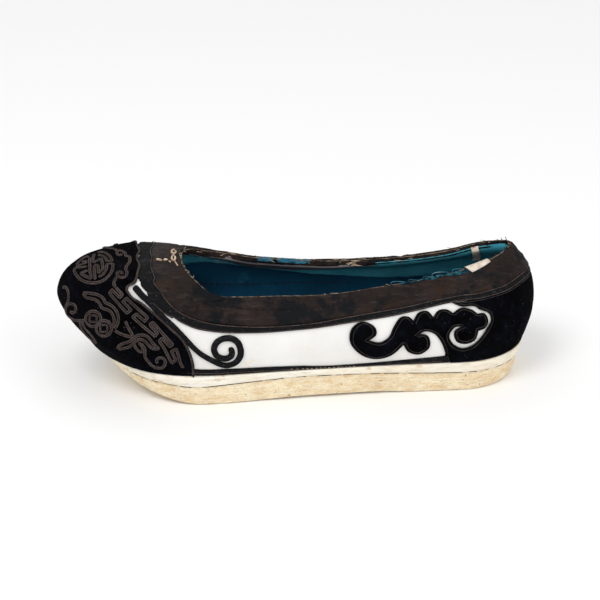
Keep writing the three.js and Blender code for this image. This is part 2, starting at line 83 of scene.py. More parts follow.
# Level curves of the last, from the sole joint up to the collar edge. Their ends are shares of LENGTH;
# the rows hold share of LENGTH, share of HALF_BALL and share of RISE.
EVEN_SHARE = 0.15
LEVELS = [
    {"up": 0, "toe": 0.092, "heel": 0.98, "lead": 1, "toe_round": 0.16, "heel_round": 0.13, "rows": [
        (0.09, 0.6, 0), (0.13, 0.74, 0), (0.2, 0.89, 0.01), (0.3, 0.95, 0), (0.42, 0.9, 0),
        (0.55, 0.84, 0), (0.7, 0.8, 0), (0.82, 0.79, 0), (0.92, 0.77, 0.01), (1, 0.75, 0.03)]},
    {"up": 0.12, "toe": 0.008, "heel": 0.992, "lead": 1, "toe_round": 0.12, "heel_round": 0.14, "rows": [
        (0, 0.5, 0.53), (0.03, 0.55, 0.4), (0.06, 0.62, 0.31), (0.13, 0.78, 0.2), (0.2, 0.91, 0.13),
        (0.3, 0.985, 0.09), (0.42, 0.94, 0.09), (0.55, 0.885, 0.09), (0.7, 0.85, 0.1),
        (0.82, 0.83, 0.12), (0.92, 0.815, 0.15), (1, 0.8, 0.17)]},
    {"up": 0.3, "toe": -0.003, "heel": 1.003, "lead": 1.05, "toe_round": 0.12, "heel_round": 0.15, "rows": [
        (0, 0.58, 0.66), (0.03, 0.62, 0.6), (0.06, 0.7, 0.55), (0.13, 0.86, 0.45), (0.2, 0.96, 0.36),
        (0.3, 1, 0.28), (0.42, 0.96, 0.27), (0.55, 0.9, 0.27), (0.7, 0.86, 0.3), (0.82, 0.84, 0.35),
        (0.92, 0.83, 0.42), (1, 0.82, 0.45)]},
    {"up": 0.72, "toe": 0.026, "heel": 0.992, "lead": 1.4, "toe_round": 0.12, "heel_round": 0.14, "rows": [
        (0, 0.4, 0.88), (0.03, 0.44, 0.9), (0.06, 0.5, 0.92), (0.13, 0.62, 0.92), (0.2, 0.76, 0.87),
        (0.3, 0.88, 0.73), (0.42, 0.85, 0.63), (0.55, 0.78, 0.58), (0.7, 0.72, 0.6), (0.82, 0.68, 0.67),
        (0.92, 0.64, 0.75), (1, 0.62, 0.78)]},
    {"up": 1, "toe": 0.252, "heel": 0.96, "lead": 2.4, "toe_round": 0.11, "heel_round": 0.1, "rows": [
        (0.25, 0.78, 1), (0.28, 0.79, 0.91), (0.31, 0.78, 0.83), (0.35, 0.74, 0.78), (0.42, 0.66, 0.74),
        (0.55, 0.58, 0.71), (0.7, 0.46, 0.76), (0.82, 0.39, 0.84), (0.9, 0.36, 0.94), (0.96, 0.34, 1)]},
]
JOINT = LEVELS[0]
UPS = np.array([level["up"] for level in LEVELS])

# Sole: lower outline, underside as a share of SOLE_STACK, and the line between its two layers as a
# share of the way down its side
TREAD = {"toe": 0.104, "heel": 0.96, "lead": 1, "toe_round": 0.17, "heel_round": 0.12, "rows": [
    (0, 0.6), (0.13, 0.7), (0.2, 0.82), (0.3, 0.9), (0.42, 0.85), (0.55, 0.79), (0.7, 0.74), (1, 0.72)]}
UNDERSIDE = [(0.1, 0.8), (0.13, 0.6), (0.16, 0.4), (0.2, 0.22), (0.24, 0.085), (0.285, 0), (0.36, 0),
             (0.5, 0.06), (0.65, 0.055), (0.75, 0), (1, 0)]
LAYER_LINE = [(0.1, 0.2), (0.16, 0.36), (0.27, 0.36), (0.38, 0.28), (0.5, 0.22), (0.65, 0.26),
              (0.83, 0.33), (0.98, 0.37)]

# Trim lines on the upper: share of the way round from toe to heel, share of the way up
BAND_LINE = [(0, 0.938), (0.103, 0.93), (0.2, 0.913), (0.269, 0.884), (0.32, 0.82), (0.361, 0.735),
             (0.371, 0.665), (0.38, 0.608), (0.39, 0.578), (0.411, 0.553), (0.445, 0.541), (0.48, 0.546),
             (0.538, 0.578), (0.602, 0.644), (0.666, 0.699), (0.733, 0.737), (0.768, 0.738),
             (0.803, 0.712), (0.847, 0.705), (0.885, 0.73), (0.92, 0.744), (1, 0.745)]
RIBBON_LINE = [(0, 0.918), (0.14, 0.91), (0.2, 0.894), (0.26, 0.86), (0.298, 0.806), (0.32, 0.75),
               (0.339, 0.688), (0.353, 0.615), (0.365, 0.552), (0.376, 0.507), (0.398, 0.476),
               (0.437, 0.47), (0.471, 0.477), (0.53, 0.512), (0.592, 0.564), (0.656, 0.605),
               (0.691, 0.641), (0.748, 0.672), (0.803, 0.646), (0.847, 0.64), (0.885, 0.664),
               (0.92, 0.68), (1, 0.682)]
BASE_LINE = [(0.28, 0.115), (0.37, 0.104), (0.45, 0.085), (0.53, 0.045), (0.6, 0.052), (0.66, 0.068),
             (0.75, 0.1)]
BASE_END = 0.797
CAP_FOOT = 0.277

# Outlines seen from the side: share of LENGTH, share of RISE above the sole.
# A corner lies where one run ends and the next begins.
CAP_REAR = [
    [(0.277, -0.02), (0.277, 0.06), (0.2765, 0.148), (0.2695, 0.286), (0.256, 0.413), (0.231, 0.53),
     (0.202, 0.655), (0.177, 0.752), (0.157, 0.805), (0.145, 0.87)],
    [(0.145, 0.87), (0.147, 0.9), (0.157, 0.925), (0.163, 0.945), (0.166, 0.962), (0.17, 0.976),
     (0.176, 0.983)],
]
CLOUD = [
    # Outer side of the channel round the cloud's head, to the tip of its curl
    [(0.815, 0.64), (0.835, 0.606), (0.86, 0.606), (0.872, 0.572)],
    [(0.892, 0.53), (0.897, 0.45), (0.889, 0.375)],
    [(0.879, 0.3), (0.862, 0.205), (0.838, 0.163), (0.816, 0.22), (0.807, 0.32), (0.82, 0.41),
     (0.839, 0.411)],
    # Inner side of the channel, back round the head
    [(0.82, 0.36), (0.824, 0.26), (0.843, 0.225), (0.862, 0.265), (0.868, 0.365)],
    [(0.882, 0.385), (0.889, 0.45), (0.882, 0.52), (0.867, 0.522)],
    # Three humps along the top
    [(0.854, 0.565), (0.834, 0.583), (0.816, 0.535)],
    [(0.803, 0.57), (0.786, 0.562), (0.775, 0.498)],
    [(0.762, 0.56), (0.744, 0.545), (0.734, 0.471)],
    # Neck, down into the left curl
    [(0.722, 0.515), (0.706, 0.508), (0.693, 0.427), (0.682, 0.322), (0.662, 0.272), (0.637, 0.303)],
    [(0.654, 0.36), (0.65, 0.44), (0.626, 0.488), (0.604, 0.42), (0.603, 0.28), (0.626, 0.15),
     (0.656, 0.094), (0.687, 0.13), (0.713, 0.251)],
    # Small curl under the neck
    [(0.724, 0.16), (0.747, 0.127), (0.766, 0.2), (0.764, 0.31), (0.75, 0.34), (0.739, 0.322)],
    [(0.756, 0.378), (0.779, 0.345), (0.795, 0.23), (0.803, 0.11)],
]

# What follows, down to SEAM_KNOTS, is in pixels of the photograph, 600 by 600.
# Black strip from the notch of the cap down to its curl: x, y and share of CURL_WIDTH
CURL_STRIP = [
    (132.4, 342.9, 1.2), (136.4, 347.8, 1.25), (141.2, 353.4, 1.2), (146.2, 357.7, 1.2),
    (154.6, 366.6, 1.2), (161.4, 374.4, 1.1), (170.8, 382.8, 1.05), (179.7, 391.7, 1), (188, 400.8, 1),
    (196, 408.8, 0.95), (204, 414.6, 1), (212.8, 419.3, 1.05), (220.4, 422.6, 1.1), (227.5, 423.2, 1.1),
    (234.8, 420.2, 1.15), (239.2, 413.9, 1.2), (239.6, 407.7, 1.2), (237.2, 400.9, 1.2),
    (232.8, 397, 1.2), (226.9, 395.7, 1.2), (220.4, 396.9, 1.18), (215.4, 400.4, 1.18),
    (212.9, 405.9, 1.15), (213.9, 410.9, 1.15), (216.8, 414.4, 1.15), (221.6, 416.3, 1.2),
    (226.3, 416, 1.2), (229.8, 413.9, 1.2), (231, 410.6, 1.15), (230.2, 407.6, 1.1), (227.8, 405.6, 0.9)]
# Lower edge of the ribbon where it spreads over the vamp
RIBBON_SPREAD = [(138.5, 312), (139.5, 320), (137, 328), (138.1, 334.7), (141, 339.4), (143.1, 345.7),
                 (145.7, 348.3), (147, 355.2), (152, 361), (158, 367), (163.5, 371.8), (172, 376.6)]
# Braid on the toe cap. The round sign is in shares of its radii, from its centre.
ROUND_SIGN_CENTRE = (92.4, 325.2)
ROUND_SIGN_RADII = (18.9, -14.8)
ROUND_SIGN = [
    [(0.74, 0.23), (1.0, 0.25), (1.02, 0.02), (0.98, -0.2), (0.88, -0.44), (0.71, -0.67), (0.5, -0.85),
     (0.26, -0.97), (0, -1.01), (-0.26, -0.98), (-0.5, -0.88), (-0.71, -0.73), (-0.86, -0.53),
     (-0.97, -0.32), (-1, -0.14), (-0.91, -0.02), (-0.72, 0), (-0.52, 0.04), (-0.3, 0.1)],
    [(1, 0.25), (0.74, 0.23), (0.7, 0), (0.64, -0.22), (0.53, -0.42), (0.4, -0.54), (0.25, -0.61)],
    [(0.22, 0.85), (0.38, 0.82), (0.53, 0.75), (0.66, 0.61), (0.72, 0.45), (0.97, 0.46), (0.91, 0.69),
     (0.78, 0.87), (0.6, 1.01), (0.4, 1.05), (0.21, 0.99)],
    [(-0.97, -0.1), (-0.81, 0.1), (-0.61, 0.22), (-0.32, 0.34)],
    [(-0.88, 0.18), (-0.77, 0.38), (-0.6, 0.57), (-0.41, 0.71), (-0.19, 0.77)],
    [(-0.61, 0.42), (-0.46, 0.42), (-0.3, 0.44)],
    [(-0.21, 0.67), (-0.2, 0.38), (-0.19, 0.08), (-0.18, -0.22), (-0.13, -0.48), (-0.12, -0.69),
     (-0.32, -0.61), (-0.5, -0.5), (-0.64, -0.38), (-0.49, -0.28), (-0.26, -0.16)],
    [(0.1, -0.79), (0.08, -0.51), (0.05, -0.22), (0.05, 0.06), (0.15, 0.18), (0.24, 0.08), (0.26, -0.14),
     (0.28, -0.32), (0.41, -0.22), (0.5, -0.02), (0.47, 0.26), (0.43, 0.53), (0.33, 0.59), (0.27, 0.51),
     (0.13, 0.42), (0.01, 0.36), (-0.03, 0.51), (-0.01, 0.73), (0.05, 0.93)],
]
BRACKET = [
    [(120.7, 311.4), (118.9, 312.9), (116.5, 312.1), (115.9, 309.6), (117.9, 308.2), (121, 308.8),
     (123.9, 310.7), (124.8, 313.6), (127.9, 314.1), (129, 317), (128, 320.5), (125.7, 323.4),
     (124.6, 326.8), (125.9, 329.9), (124.6, 333.5), (121, 335), (117.6, 333.9), (116.1, 331.2),
     (117.9, 329.3), (120.4, 329.9), (121, 332)],
    [(113.4, 306.4), (116.1, 308.9)],
]
# These are on both sides of the cap
SIDE_CURVES = [
    [(116.2, 333.8), (113.6, 337.9), (112.9, 341.2), (114.7, 344.2)],
    [(61.6, 344.5), (64.8, 344.3), (67, 347.7), (67.8, 352.8), (67.3, 358.5), (65.6, 362.3), (64.9, 366.8),
     (66.2, 371.2), (69.5, 374.6), (74, 376.9), (79.4, 377.5), (84.6, 377)],
    [(65.3, 363.9), (67, 361.4), (70.5, 360.7), (74, 362.3), (75.1, 365.5), (74, 368.4), (71.1, 369.5),
     (69.2, 367.4)],
    [(82, 350.2), (87.7, 350.2), (95.4, 351.5), (100.2, 353.7), (103, 356.6), (104.6, 359.8), (109.4, 362),
     (113.9, 366.1), (116.5, 370.6), (117.2, 376.4), (116.1, 381.5), (113.5, 385.6)],
    [(82, 350.2), (85.2, 354.3), (90.3, 355.6), (95.4, 357.2), (98.6, 360.4), (100.8, 364.6), (104.3, 366.1),
     (108.8, 368.1), (111.9, 372.5), (113.1, 377.6), (112.6, 382.1), (111, 385)],
    [(79.4, 378.3), (79.4, 381.5), (81.3, 386.6), (85.2, 391.7), (90.3, 396.4), (95.7, 400.6)],
    [(81.7, 378.3), (82.3, 381.5), (84.5, 385.6), (88.4, 389.7), (92.2, 394.5), (95.7, 400.3)],
    [(113.4, 387.1), (117.9, 390), (124.1, 392.4), (131.2, 394.2)],
    [(124.1, 377.7), (126.8, 383.9), (129.9, 389.3), (132.1, 393.3)],
    [(117, 406.2), (117.9, 402.7), (122.3, 400.2), (127.7, 398.7), (132.1, 395.5), (136.6, 392.4), (142, 392),
     (146.9, 394.2), (150.4, 398.7), (154, 402.7), (158.5, 405.8)],
    [(117, 406.2), (121.4, 405.2), (126.8, 404), (131.2, 401.3), (134.8, 397.8), (139.3, 396.2),
     (143.8, 398.2), (147.3, 401.8), (151.8, 405.4), (158.5, 405.8)],
    [(132.6, 400.4), (135.3, 405.4), (139.3, 408.5), (142, 407.1), (140.6, 402.7), (137.1, 399.1)],
    [(139.3, 400), (142.9, 404), (143.8, 408.9), (143.9, 413.4), (146.4, 417.4), (150, 421.4),
     (154.5, 424.3), (159.8, 424.7), (163.4, 422.3), (164.1, 417.9), (161.2, 414.7), (157.1, 415),
     (155.4, 417.9), (157.1, 420.1)],
]
KEY_FRET = [
    (114.7, 344.2), (121.4, 351.6), (118.8, 354.6), (111.2, 346.9), (108.7, 350), (125.9, 370.1),
    (129.9, 366.8), (121.9, 358.8), (125.6, 355.2), (146.4, 374.3), (143.8, 378.4), (135.3, 371),
    (131.7, 374.1), (153.8, 393.1), (156.2, 390.2), (148.7, 381.7), (151.8, 379.3), (171.4, 401.3),
    (168.8, 403.8), (160.9, 395.1), (158, 398), (171, 419.8), (174.6, 416.5), (170.1, 408.2),
    (175, 406.2), (182.3, 424.8)]
# Coins: their centres, the radius of the ring and that of the square's corners
COINS = [(92.3, 375.7), (102.9, 385.2)]
COIN_RADIUS = 7.6
COIN_HOLE = 4.9
# Beige stitches on the throat's seam: x, y and share of the cord's width
SEAM_STITCHES = [
    [(155, 316.6, 1.2), (158, 316.9, 1.5), (160.7, 317.8, 1.2)],
    [(162, 317, 1.2), (164.5, 316.8, 1.5), (167, 316.6, 1.2)],
    [(167.4, 318.4, 0.7), (169.9, 319.4, 0.7)],
    [(173, 318, 0.6), (174.6, 320, 0.5), (176.6, 323, 0.7)],
]
# Knots there: x, y, half width and half height
SEAM_KNOTS = [(172.4, 315.4, 1.7, 2.5), (172.6, 309.3, 2.1, 1.7)]

# How far the satin is folded down inside the collar: share of the way round, mm
FOLD_WIDTH = [(0, 1.2), (0.3, 1.2), (0.43, 1.6), (0.465, 5), (0.49, 10), (0.58, 9.5), (0.62, 5.5),
              (0.67, 2), (0.75, 1.2), (1, 0.8)]
# Main creases of the satin band: from x, y to x, y in the photograph's pixels, then width and depth in mm
CREASES = [(223.3, 356.7, 200, 376.7, 1.7, 0.55), (157, 323, 165, 356, 1.5, 0.35),
           (424.3, 352.9, 450, 355, 1.4, 0.45), (487, 345, 514, 336, 1.3, 0.5),
           (404, 338, 413, 352, 1.5, 0.5), (507, 318, 512, 333, 1.4, 0.45),
           (243, 358, 251, 366, 1.2, 0.3), (330, 356, 352, 353, 1.4, 0.35)]
# How far the torn cloth hangs out over the near rim: share of the way round, mm
TATTERS = [(0.72, 0.1), (0.735, 0.9), (0.75, 0.1), (0.765, 1.3), (0.78, 0.2), (0.8, 1.6), (0.82, 1.9),
           (0.84, 2.6), (0.86, 0.8)]
# Lower edge of the teal facing inside: share of the way round, share of the way up
FACING_FOOT = [(0, 0.5), (0.3, 0.52), (0.38, 0.54), (0.44, 0.62), (0.5, 0.66), (0.55, 0.64), (0.6, 0.57),
               (0.65, 0.48), (0.75, 0.44), (0.88, 0.42), (1, 0.42)]

PROBE = 0.002
NUDGE = 1e-6
PARAMETER_SCALE = np.array([300.0, 55.0])
# About how many millimetres one unit of u is along the collar's side
ROUND_MM = 190
JOINT_GRIP = 0.06
# How far round past the toe's ridge the photograph shows
PAST_RIDGE = -0.3

# Where the worn rim stands higher: share of the way round from which it rises, over how much, and mm
HEEL_RISE_FROM = 0.87
HEEL_RISE_RUN = 0.08
HEEL_RISE = 1.3
# The satin: mm behind it, share of its height at which its seam runs, and mm from pleat to pleat
BACKING = 0.1
BAND_SEAM = 0.52
PLEAT_PITCH = 1.9
# Threads on the rim: how many, how much sparser before the heel, where the heel starts, share of pale ones
RIM_THREADS = 420
SPARSER = 0.35
HEEL_FROM = 0.88
PALE_SHARE = 0.22
# A tuft of pale threads on the far rim: its u and how many
TUFT = 1.339
TUFT_THREADS = 12
# What lies on the inner side and the rim, as spans of u
FACING_EDGE_SPAN = (1.31, 2.69)
LINING_STITCH_SPAN = (-0.6, -0.36)
FOLD_SPAN = (0.43, 0.66)
BLUE_PATCHES = ((-0.598, -0.543), (-0.535, -0.504))
TAPE_SPAN = (-0.864, -0.848)
TATTER_SPAN = (0.72, 0.862)
TAB_SPAN = (0.826, 0.872)
# Loose loops of thread on the near rim: u and size in mm
THREAD_LOOPS = ((0.72, 1.9), (0.785, 2.6), (0.742, 1.2), (0.765, 1.4), (0.812, 1.6))
# Width and height of cords and threads, in mm
BAND_CORD = (0.55, 0.34)
CLOUD_CORD = (0.8, 0.5)
CLOUD_LINE = (0.36, 0.30)
BAND_STITCH = (0.32, 0.2)
BASE_CORD = (0.4, 0.3)
BASE_STITCH = (0.45, 0.3)
SEAM_STITCH = (1.2, 0.8)
SEAM_KNOT = (1.1, 0.9)
# Where the running stitches on the band and along the base strip are, and the ribbon's foot cord
BAND_STITCH_SPAN = (0.40, 0.54)
BASE_STITCH_SPAN = (0.47, 0.56)
FOOT_CORD_SPAN = (0.345, 1.655)


# The last
def unit(vectors):
    """The same directions, with length 1."""
    return vectors / np.maximum(NUDGE, np.linalg.norm(vectors, axis=-1, keepdims=True))


def run_along(points):
    """How far along a path each of its points lies."""
    return np.concatenate([[0], np.cumsum(np.linalg.norm(np.diff(points, axis=0), axis=1))])


def hermite(a, da, b, db, s):
    return ((2 * s**3 - 3 * s**2 + 1) * a + (s**3 - 2 * s**2 + s) * da
            + (3 * s**2 - 2 * s**3) * b + (s**3 - s**2) * db)


def ease_through(rows, column, x):
    """Monotone cubic through one column of a table."""
    knots = np.array([row[0] for row in rows], float)
    values = np.array([row[column] for row in rows], float)
    slopes = np.diff(values) / np.diff(knots)
    before, after = slopes[:-1], slopes[1:]
    total = np.where(before + after == 0, 1, before + after)
    inner = np.where(before * after > 0, 2 * before * after / total, 0)
    tangents = np.concatenate([slopes[:1], inner, slopes[-1:]])
    x = np.clip(x, knots[0], knots[-1])
    i = np.clip(np.searchsorted(knots, x, side="right") - 1, 0, len(knots) - 2)
    span = knots[i + 1] - knots[i]
    s = (x - knots[i]) / span
    return hermite(values[i], tangents[i] * span, values[i + 1], tangents[i + 1] * span, s)


def level_point(level, t):
    """Along (share of LENGTH) and half-width (mm) of a level, from the toe's centre to the heel's."""
    even = (1 - np.cos(np.pi * t)) / 2
    led = even * (EVEN_SHARE + (1 - EVEN_SHARE) * even ** (level["lead"] - 1))
    x = level["toe"] + (level["heel"] - level["toe"]) * led

    def rounding(past, long):
        return np.sqrt(np.maximum(0, 1 - np.maximum(0, 1 - past / long) ** 2))

    ends = rounding(x - level["toe"], level["toe_round"]) * rounding(level["heel"] - x, level["heel_round"])
    return x, ends * ease_through(level["rows"], 1, x) * HALF_BALL


def fold(u):
    """u from 0 to 2 runs down the near side from toe to heel and back along the far side."""
    turn = np.mod(u, 2)
    return np.where(turn <= 1, turn, 2 - turn), np.where(turn <= 1, -1.0, 1.0)


def sole_top(x):
    return SOLE_STACK + ease_through(JOINT["rows"], 2, x) * RISE


def last_point(u, v):
    """The shoe's outermost surface; v runs from the sole joint to the collar edge."""
    u, v = np.broadcast_arrays(np.asarray(u, float), np.asarray(v, float))
    t, side = fold(u)
    points = []
    for level in LEVELS:
        x, half = level_point(level, t)
        height = ease_through(level["rows"], 2, x) * RISE
        points.append(np.stack([x * LENGTH - MIDDLE, side * half, SOLE_STACK + GAP + height], -1))
    points = np.stack(points)
    steps = np.diff(points, axis=0)
    reach = np.sqrt(np.maximum(NUDGE, np.linalg.norm(steps, axis=-1)))[..., None]
    rate = steps / reach
    tangents = np.empty_like(points)
    tangents[0] = rate[0]
    tangents[-1] = rate[-1]
    tangents[1:-1] = rate[:-1] + rate[1:] - (points[2:] - points[:-2]) / (reach[:-1] + reach[1:])
    j = np.clip(np.searchsorted(UPS, v, side="right") - 1, 0, len(UPS) - 2)

    def pick(field, k):
        return np.take_along_axis(field, k[None, ..., None], axis=0)[0]

    s = ((v - UPS[j]) / (UPS[j + 1] - UPS[j]))[..., None]
    stretch = pick(reach, j)
    return hermite(pick(points, j), pick(tangents, j) * stretch,
                   pick(points, j + 1), pick(tangents, j + 1) * stretch, s)


def outward(u, v):
    """The way out of the surface."""
    level = np.clip(v, 0, 1)
    along = last_point(u + PROBE, level) - last_point(u - PROBE, level)
    upward = last_point(u, np.minimum(1, level + PROBE)) - last_point(u, np.maximum(0, level - PROBE))
    return unit(np.cross(along, upward))


def skin(u, v, depth):
    """A point this deep under the outermost surface; at the sole joint it stays on the sole's top."""
    u, v, depth = np.broadcast_arrays(*(np.asarray(a, float) for a in (u, v, depth)))
    normal = outward(u, v)
    grip = np.clip(v / JOINT_GRIP, 0, 1)
    normal[..., 2] *= grip
    point = last_point(u, v) - depth[..., None] * unit(normal)
    joint = sole_top((point[..., 0] + MIDDLE) / LENGTH) + GAP
    point[..., 2] = joint * (1 - grip) + point[..., 2] * grip
    return point


def line_at(line):
    return lambda u: ease_through(line, 1, fold(u)[0])


band_at = line_at(BAND_LINE)
ribbon_at = line_at(RIBBON_LINE)


def collar_mm(u):
    """Millimetres to one unit of v at the collar edge."""
    return np.linalg.norm(last_point(u, 1.0 + 0 * u) - last_point(u, 1 - PROBE + 0 * u), axis=-1) / PROBE


# Two views of the near side, for finding the place of what is seen from there
view_out = np.array([-math.sin(YAW) * math.cos(ELEVATION), -math.cos(YAW) * math.cos(ELEVATION),
                     math.sin(ELEVATION)])
camera_place = AIM + view_out * DISTANCE
focal_pixels = PIXELS_PER_MM * DISTANCE


def camera_axes(aim_pixel):
    """Right, up and forward of the camera that shows AIM at this pixel."""
    forward = -view_out
    right = unit(np.cross(forward, [0, 0, 1]))
    up = np.cross(right, forward)
    forward = unit(forward - right * (aim_pixel[0] - PIXELS / 2) / focal_pixels
                   - up * (PIXELS / 2 - aim_pixel[1]) / focal_pixels)
    right = unit(np.cross(forward, [0, 0, 1]))
    return right, np.cross(right, forward), forward


def photo_view(points):
    """Pixels of the photograph at which points are seen."""
    right, up, forward = camera_axes(AIM_PIXEL)
    rays = points - camera_place
    depth = rays @ forward
    return np.stack([PIXELS / 2 + focal_pixels * (rays @ right) / depth,
                     PIXELS / 2 - focal_pixels * (rays @ up) / depth], -1)


def side_view(points):
    """Share of LENGTH from the toe, and share of RISE above the sole."""
    return np.stack([(points[..., 0] + MIDDLE) / LENGTH, (points[..., 2] - SOLE_STACK - GAP) / RISE], -1)


def locate(places, view):
    """Where the shoe shows at places in a view: u and v for each. u is below 0 past the ridge."""
    places = np.asarray(places, float)
    from_u = PAST_RIDGE if view is photo_view else 0
    grid_u, grid_v = np.meshgrid(np.linspace(from_u, 1, 131), np.linspace(0, 1, 61), indexing="ij")
    grid = last_point(grid_u, grid_v)
    facing = np.ones(grid_u.shape, bool)
    if view is photo_view:
        facing = ((camera_place - grid) * outward(grid_u, grid_v)).sum(-1) > 0
    seen = view(grid)[facing]
    start = np.array([np.argmin(((seen - place) ** 2).sum(-1)) for place in places])
    u, v = grid_u[facing][start], grid_v[facing][start]
    small = 1e-4
    most_u, most_v = 0.03, 0.05
    for _ in range(8):
        here = view(last_point(u, v))
        by_u = (view(last_point(u + small, v)) - here) / small
        by_v = (view(last_point(u, v + small)) - here) / small
        off = places - here
        area = by_u[:, 0] * by_v[:, 1] - by_u[:, 1] * by_v[:, 0]
        area = np.where(np.abs(area) < NUDGE, NUDGE, area)
        du = (off[:, 0] * by_v[:, 1] - off[:, 1] * by_v[:, 0]) / area
        dv = (by_u[:, 0] * off[:, 1] - by_u[:, 1] * off[:, 0]) / area
        u = np.clip(u + np.clip(du, -most_u, most_u), from_u, 1)
        v = np.clip(v + np.clip(dv, -most_v, most_v), 0, 1)
    return u, v


def smooth_run(points, steps=8):
    """Points along a Catmull-Rom curve through a run."""
    points = np.asarray(points, float)
    padded = np.vstack([points[:1], points, points[-1:]])
    s = np.linspace(0, 1, steps, endpoint=False)[:, None]
    out = []
    for p0, p1, p2, p3 in zip(padded, padded[1:], padded[2:], padded[3:]):
        out.append(hermite(p1, (p2 - p0) / 2, p2, (p3 - p1) / 2, s))
    return np.vstack(out + [points[-1:]])


def respace(path, step):
    """The same path with even steps; the path's columns may be more than its two places."""
    gaps = np.linalg.norm(np.diff(path[:, :2], axis=0), axis=1)
    path = path[np.concatenate([[True], gaps > NUDGE])]
    run = run_along(path[:, :2])
    count = max(2, int(round(run[-1] / step)) + 1)
    at = np.linspace(0, run[-1], count)
    return np.stack([np.interp(at, run, path[:, k]) for k in range(path.shape[1])], -1)


def even_ring(outline, step):
    """A closed outline of u and v with even steps, as places near mm."""
    return respace(np.vstack([outline, outline[:1]]) * PARAMETER_SCALE, step)[:-1]


# Meshes
def grain(points, size, seed=0.0):
    """Smooth noise from -1 to 1 at places in space; size is its usual width."""
    flat = np.asarray(points, float).reshape(-1, 3) / size + seed
    values = [noise.noise(Vector(place)) for place in flat]
    return np.array(values).reshape(np.asarray(points).shape[:-1])


def add_piece(name, part, material, slot, *replaces):
    """A mesh piece of the object, from its points in mm and its faces."""
    points, faces = part
    mesh = bpy.data.meshes.new(name)
    mesh.from_pydata((np.reshape(points, (-1, 3)) * MM).tolist(), [], faces)
    mesh.validate()
    mesh.materials.append(material)
    mesh.polygons.foreach_set("use_smooth", [True] * len(mesh.polygons))
    mesh.update()
    piece = bpy.data.objects.new(name, mesh)
    bpy.context.scene.collection.objects.link(piece)
    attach(piece, "root")
    if replaces:
        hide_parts(*replaces)


def mirrored(part):
    """Points and faces of the same part on the other side."""
    points, faces = part
    return points * [1, -1, 1], [face[::-1] for face in faces]


def both_sides(parts):
    """Every part, each followed by its mirrored one."""
    return [one for part in parts for one in (part, mirrored(part))]


def add_pairs(*pieces, replaces=None):
    """Pieces of the near side, then the same ones mirrored on the far side."""
    for hand in ("near", "far"):
        nodes = [f"{replaces}_{hand}"] if replaces else []
        for name, part, material, slot in pieces:
            one = part if hand == "near" else mirrored(part)
            add_piece(f"{name}_{hand}", one, material, slot, *nodes)


def quad_faces(columns, rows, closed=False, start=0, flip=False):
    """Faces of a grid of points laid out column by column."""
    spans = columns if closed else columns - 1
    i = np.repeat(np.arange(spans), rows - 1)
    j = np.tile(np.arange(rows - 1), spans)
    nxt = (i + 1) % columns
    corners = np.stack([i * rows + j, nxt * rows + j, nxt * rows + j + 1, i * rows + j + 1], -1) + start
    return (corners[:, ::-1] if flip else corners).tolist()


def rim_faces(a, b, closed):
    """Faces between two rows of point numbers."""
    count = len(a) if closed else len(a) - 1
    return [[a[i], a[(i + 1) % len(a)], b[(i + 1) % len(b)], b[i]] for i in range(count)]


def sheet_between(outer, inner, closed=False):
    """Points and faces of a closed sheet from two grids of points, columns by rows."""
    columns, rows = outer.shape[:2]
    half = columns * rows
    faces = quad_faces(columns, rows, closed) + quad_faces(columns, rows, closed, start=half, flip=True)
    front = np.arange(half).reshape(columns, rows)
    back = front + half
    rims = [(back[:, 0], front[:, 0]), (front[:, -1], back[:, -1])]
    if not closed:
        rims += [(front[0], back[0]), (back[-1], front[-1])]
    for a, b in rims:
        faces += rim_faces(a.tolist(), b.tolist(), closed)
    return np.concatenate([outer.reshape(-1, 3), inner.reshape(-1, 3)]), faces


def cloth_grid(u, v, outer, inner, closed=False):
    """Points and faces of a closed sheet between two depths; u and v are columns by rows."""
    return sheet_between(skin(u, v, outer), skin(u, v, inner), closed)


def grid_of(from_u, to_u, columns, rows, endpoint=True):
    """Places round the shoe by shares of the way over a strip, columns by rows."""
    around = np.linspace(from_u, to_u, columns, endpoint=endpoint)
    return np.meshgrid(around, np.linspace(0, 1, rows), indexing="ij")


def rounded(s, corner):
    """1 in the middle of a strip, and down to 0 in a quarter round at its edges."""
    near = np.clip(np.minimum(s, 1 - s) / corner, 0, 1)
    return np.sqrt(1 - (1 - near) ** 2)


def loft(rings):
    """Points and faces through rings of points, closed at both ends."""
    count, around = rings.shape[:2]
    faces = []
    for i in range(count - 1):
        a, b = i * around, (i + 1) * around
        for k in range(around):
            n = (k + 1) % around
            faces.append([a + k, b + k, b + n, a + n])
    faces.append(list(range(around)))
    faces.append(list(range((count - 1) * around, count * around))[::-1])
    return rings.reshape(-1, 3), faces


def join_parts(parts):
    """Several points-and-faces pairs as one."""
    points, faces, start = [], [], 0
    for part_points, part_faces in parts:
        points.append(part_points)
        faces += [[k + start for k in face] for face in part_faces]
        start += len(part_points)
    return np.concatenate(points), faces


# Sections of what is sewn on: across (share of half its width), height (share of its height)
ROUND_CORD = [(math.cos(a), max(0.0, math.sin(a))) for a in np.linspace(math.pi, 0, 7)] + [(0.0, -0.25)]
DOUBLE_BRAID = [(-1, 0), (-0.86, 0.72), (-0.55, 1), (-0.2, 0.62), (0, 0.08), (0.2, 0.62), (0.55, 1),
                (0.86, 0.72), (1, 0), (0, -0.25)]
FLAT_TAPE = [(-1, 0), (-0.94, 0.7), (-0.8, 1), (-0.3, 1.06), (0.3, 1.06), (0.8, 1), (0.94, 0.7), (1, 0),
             (0, -0.25)]


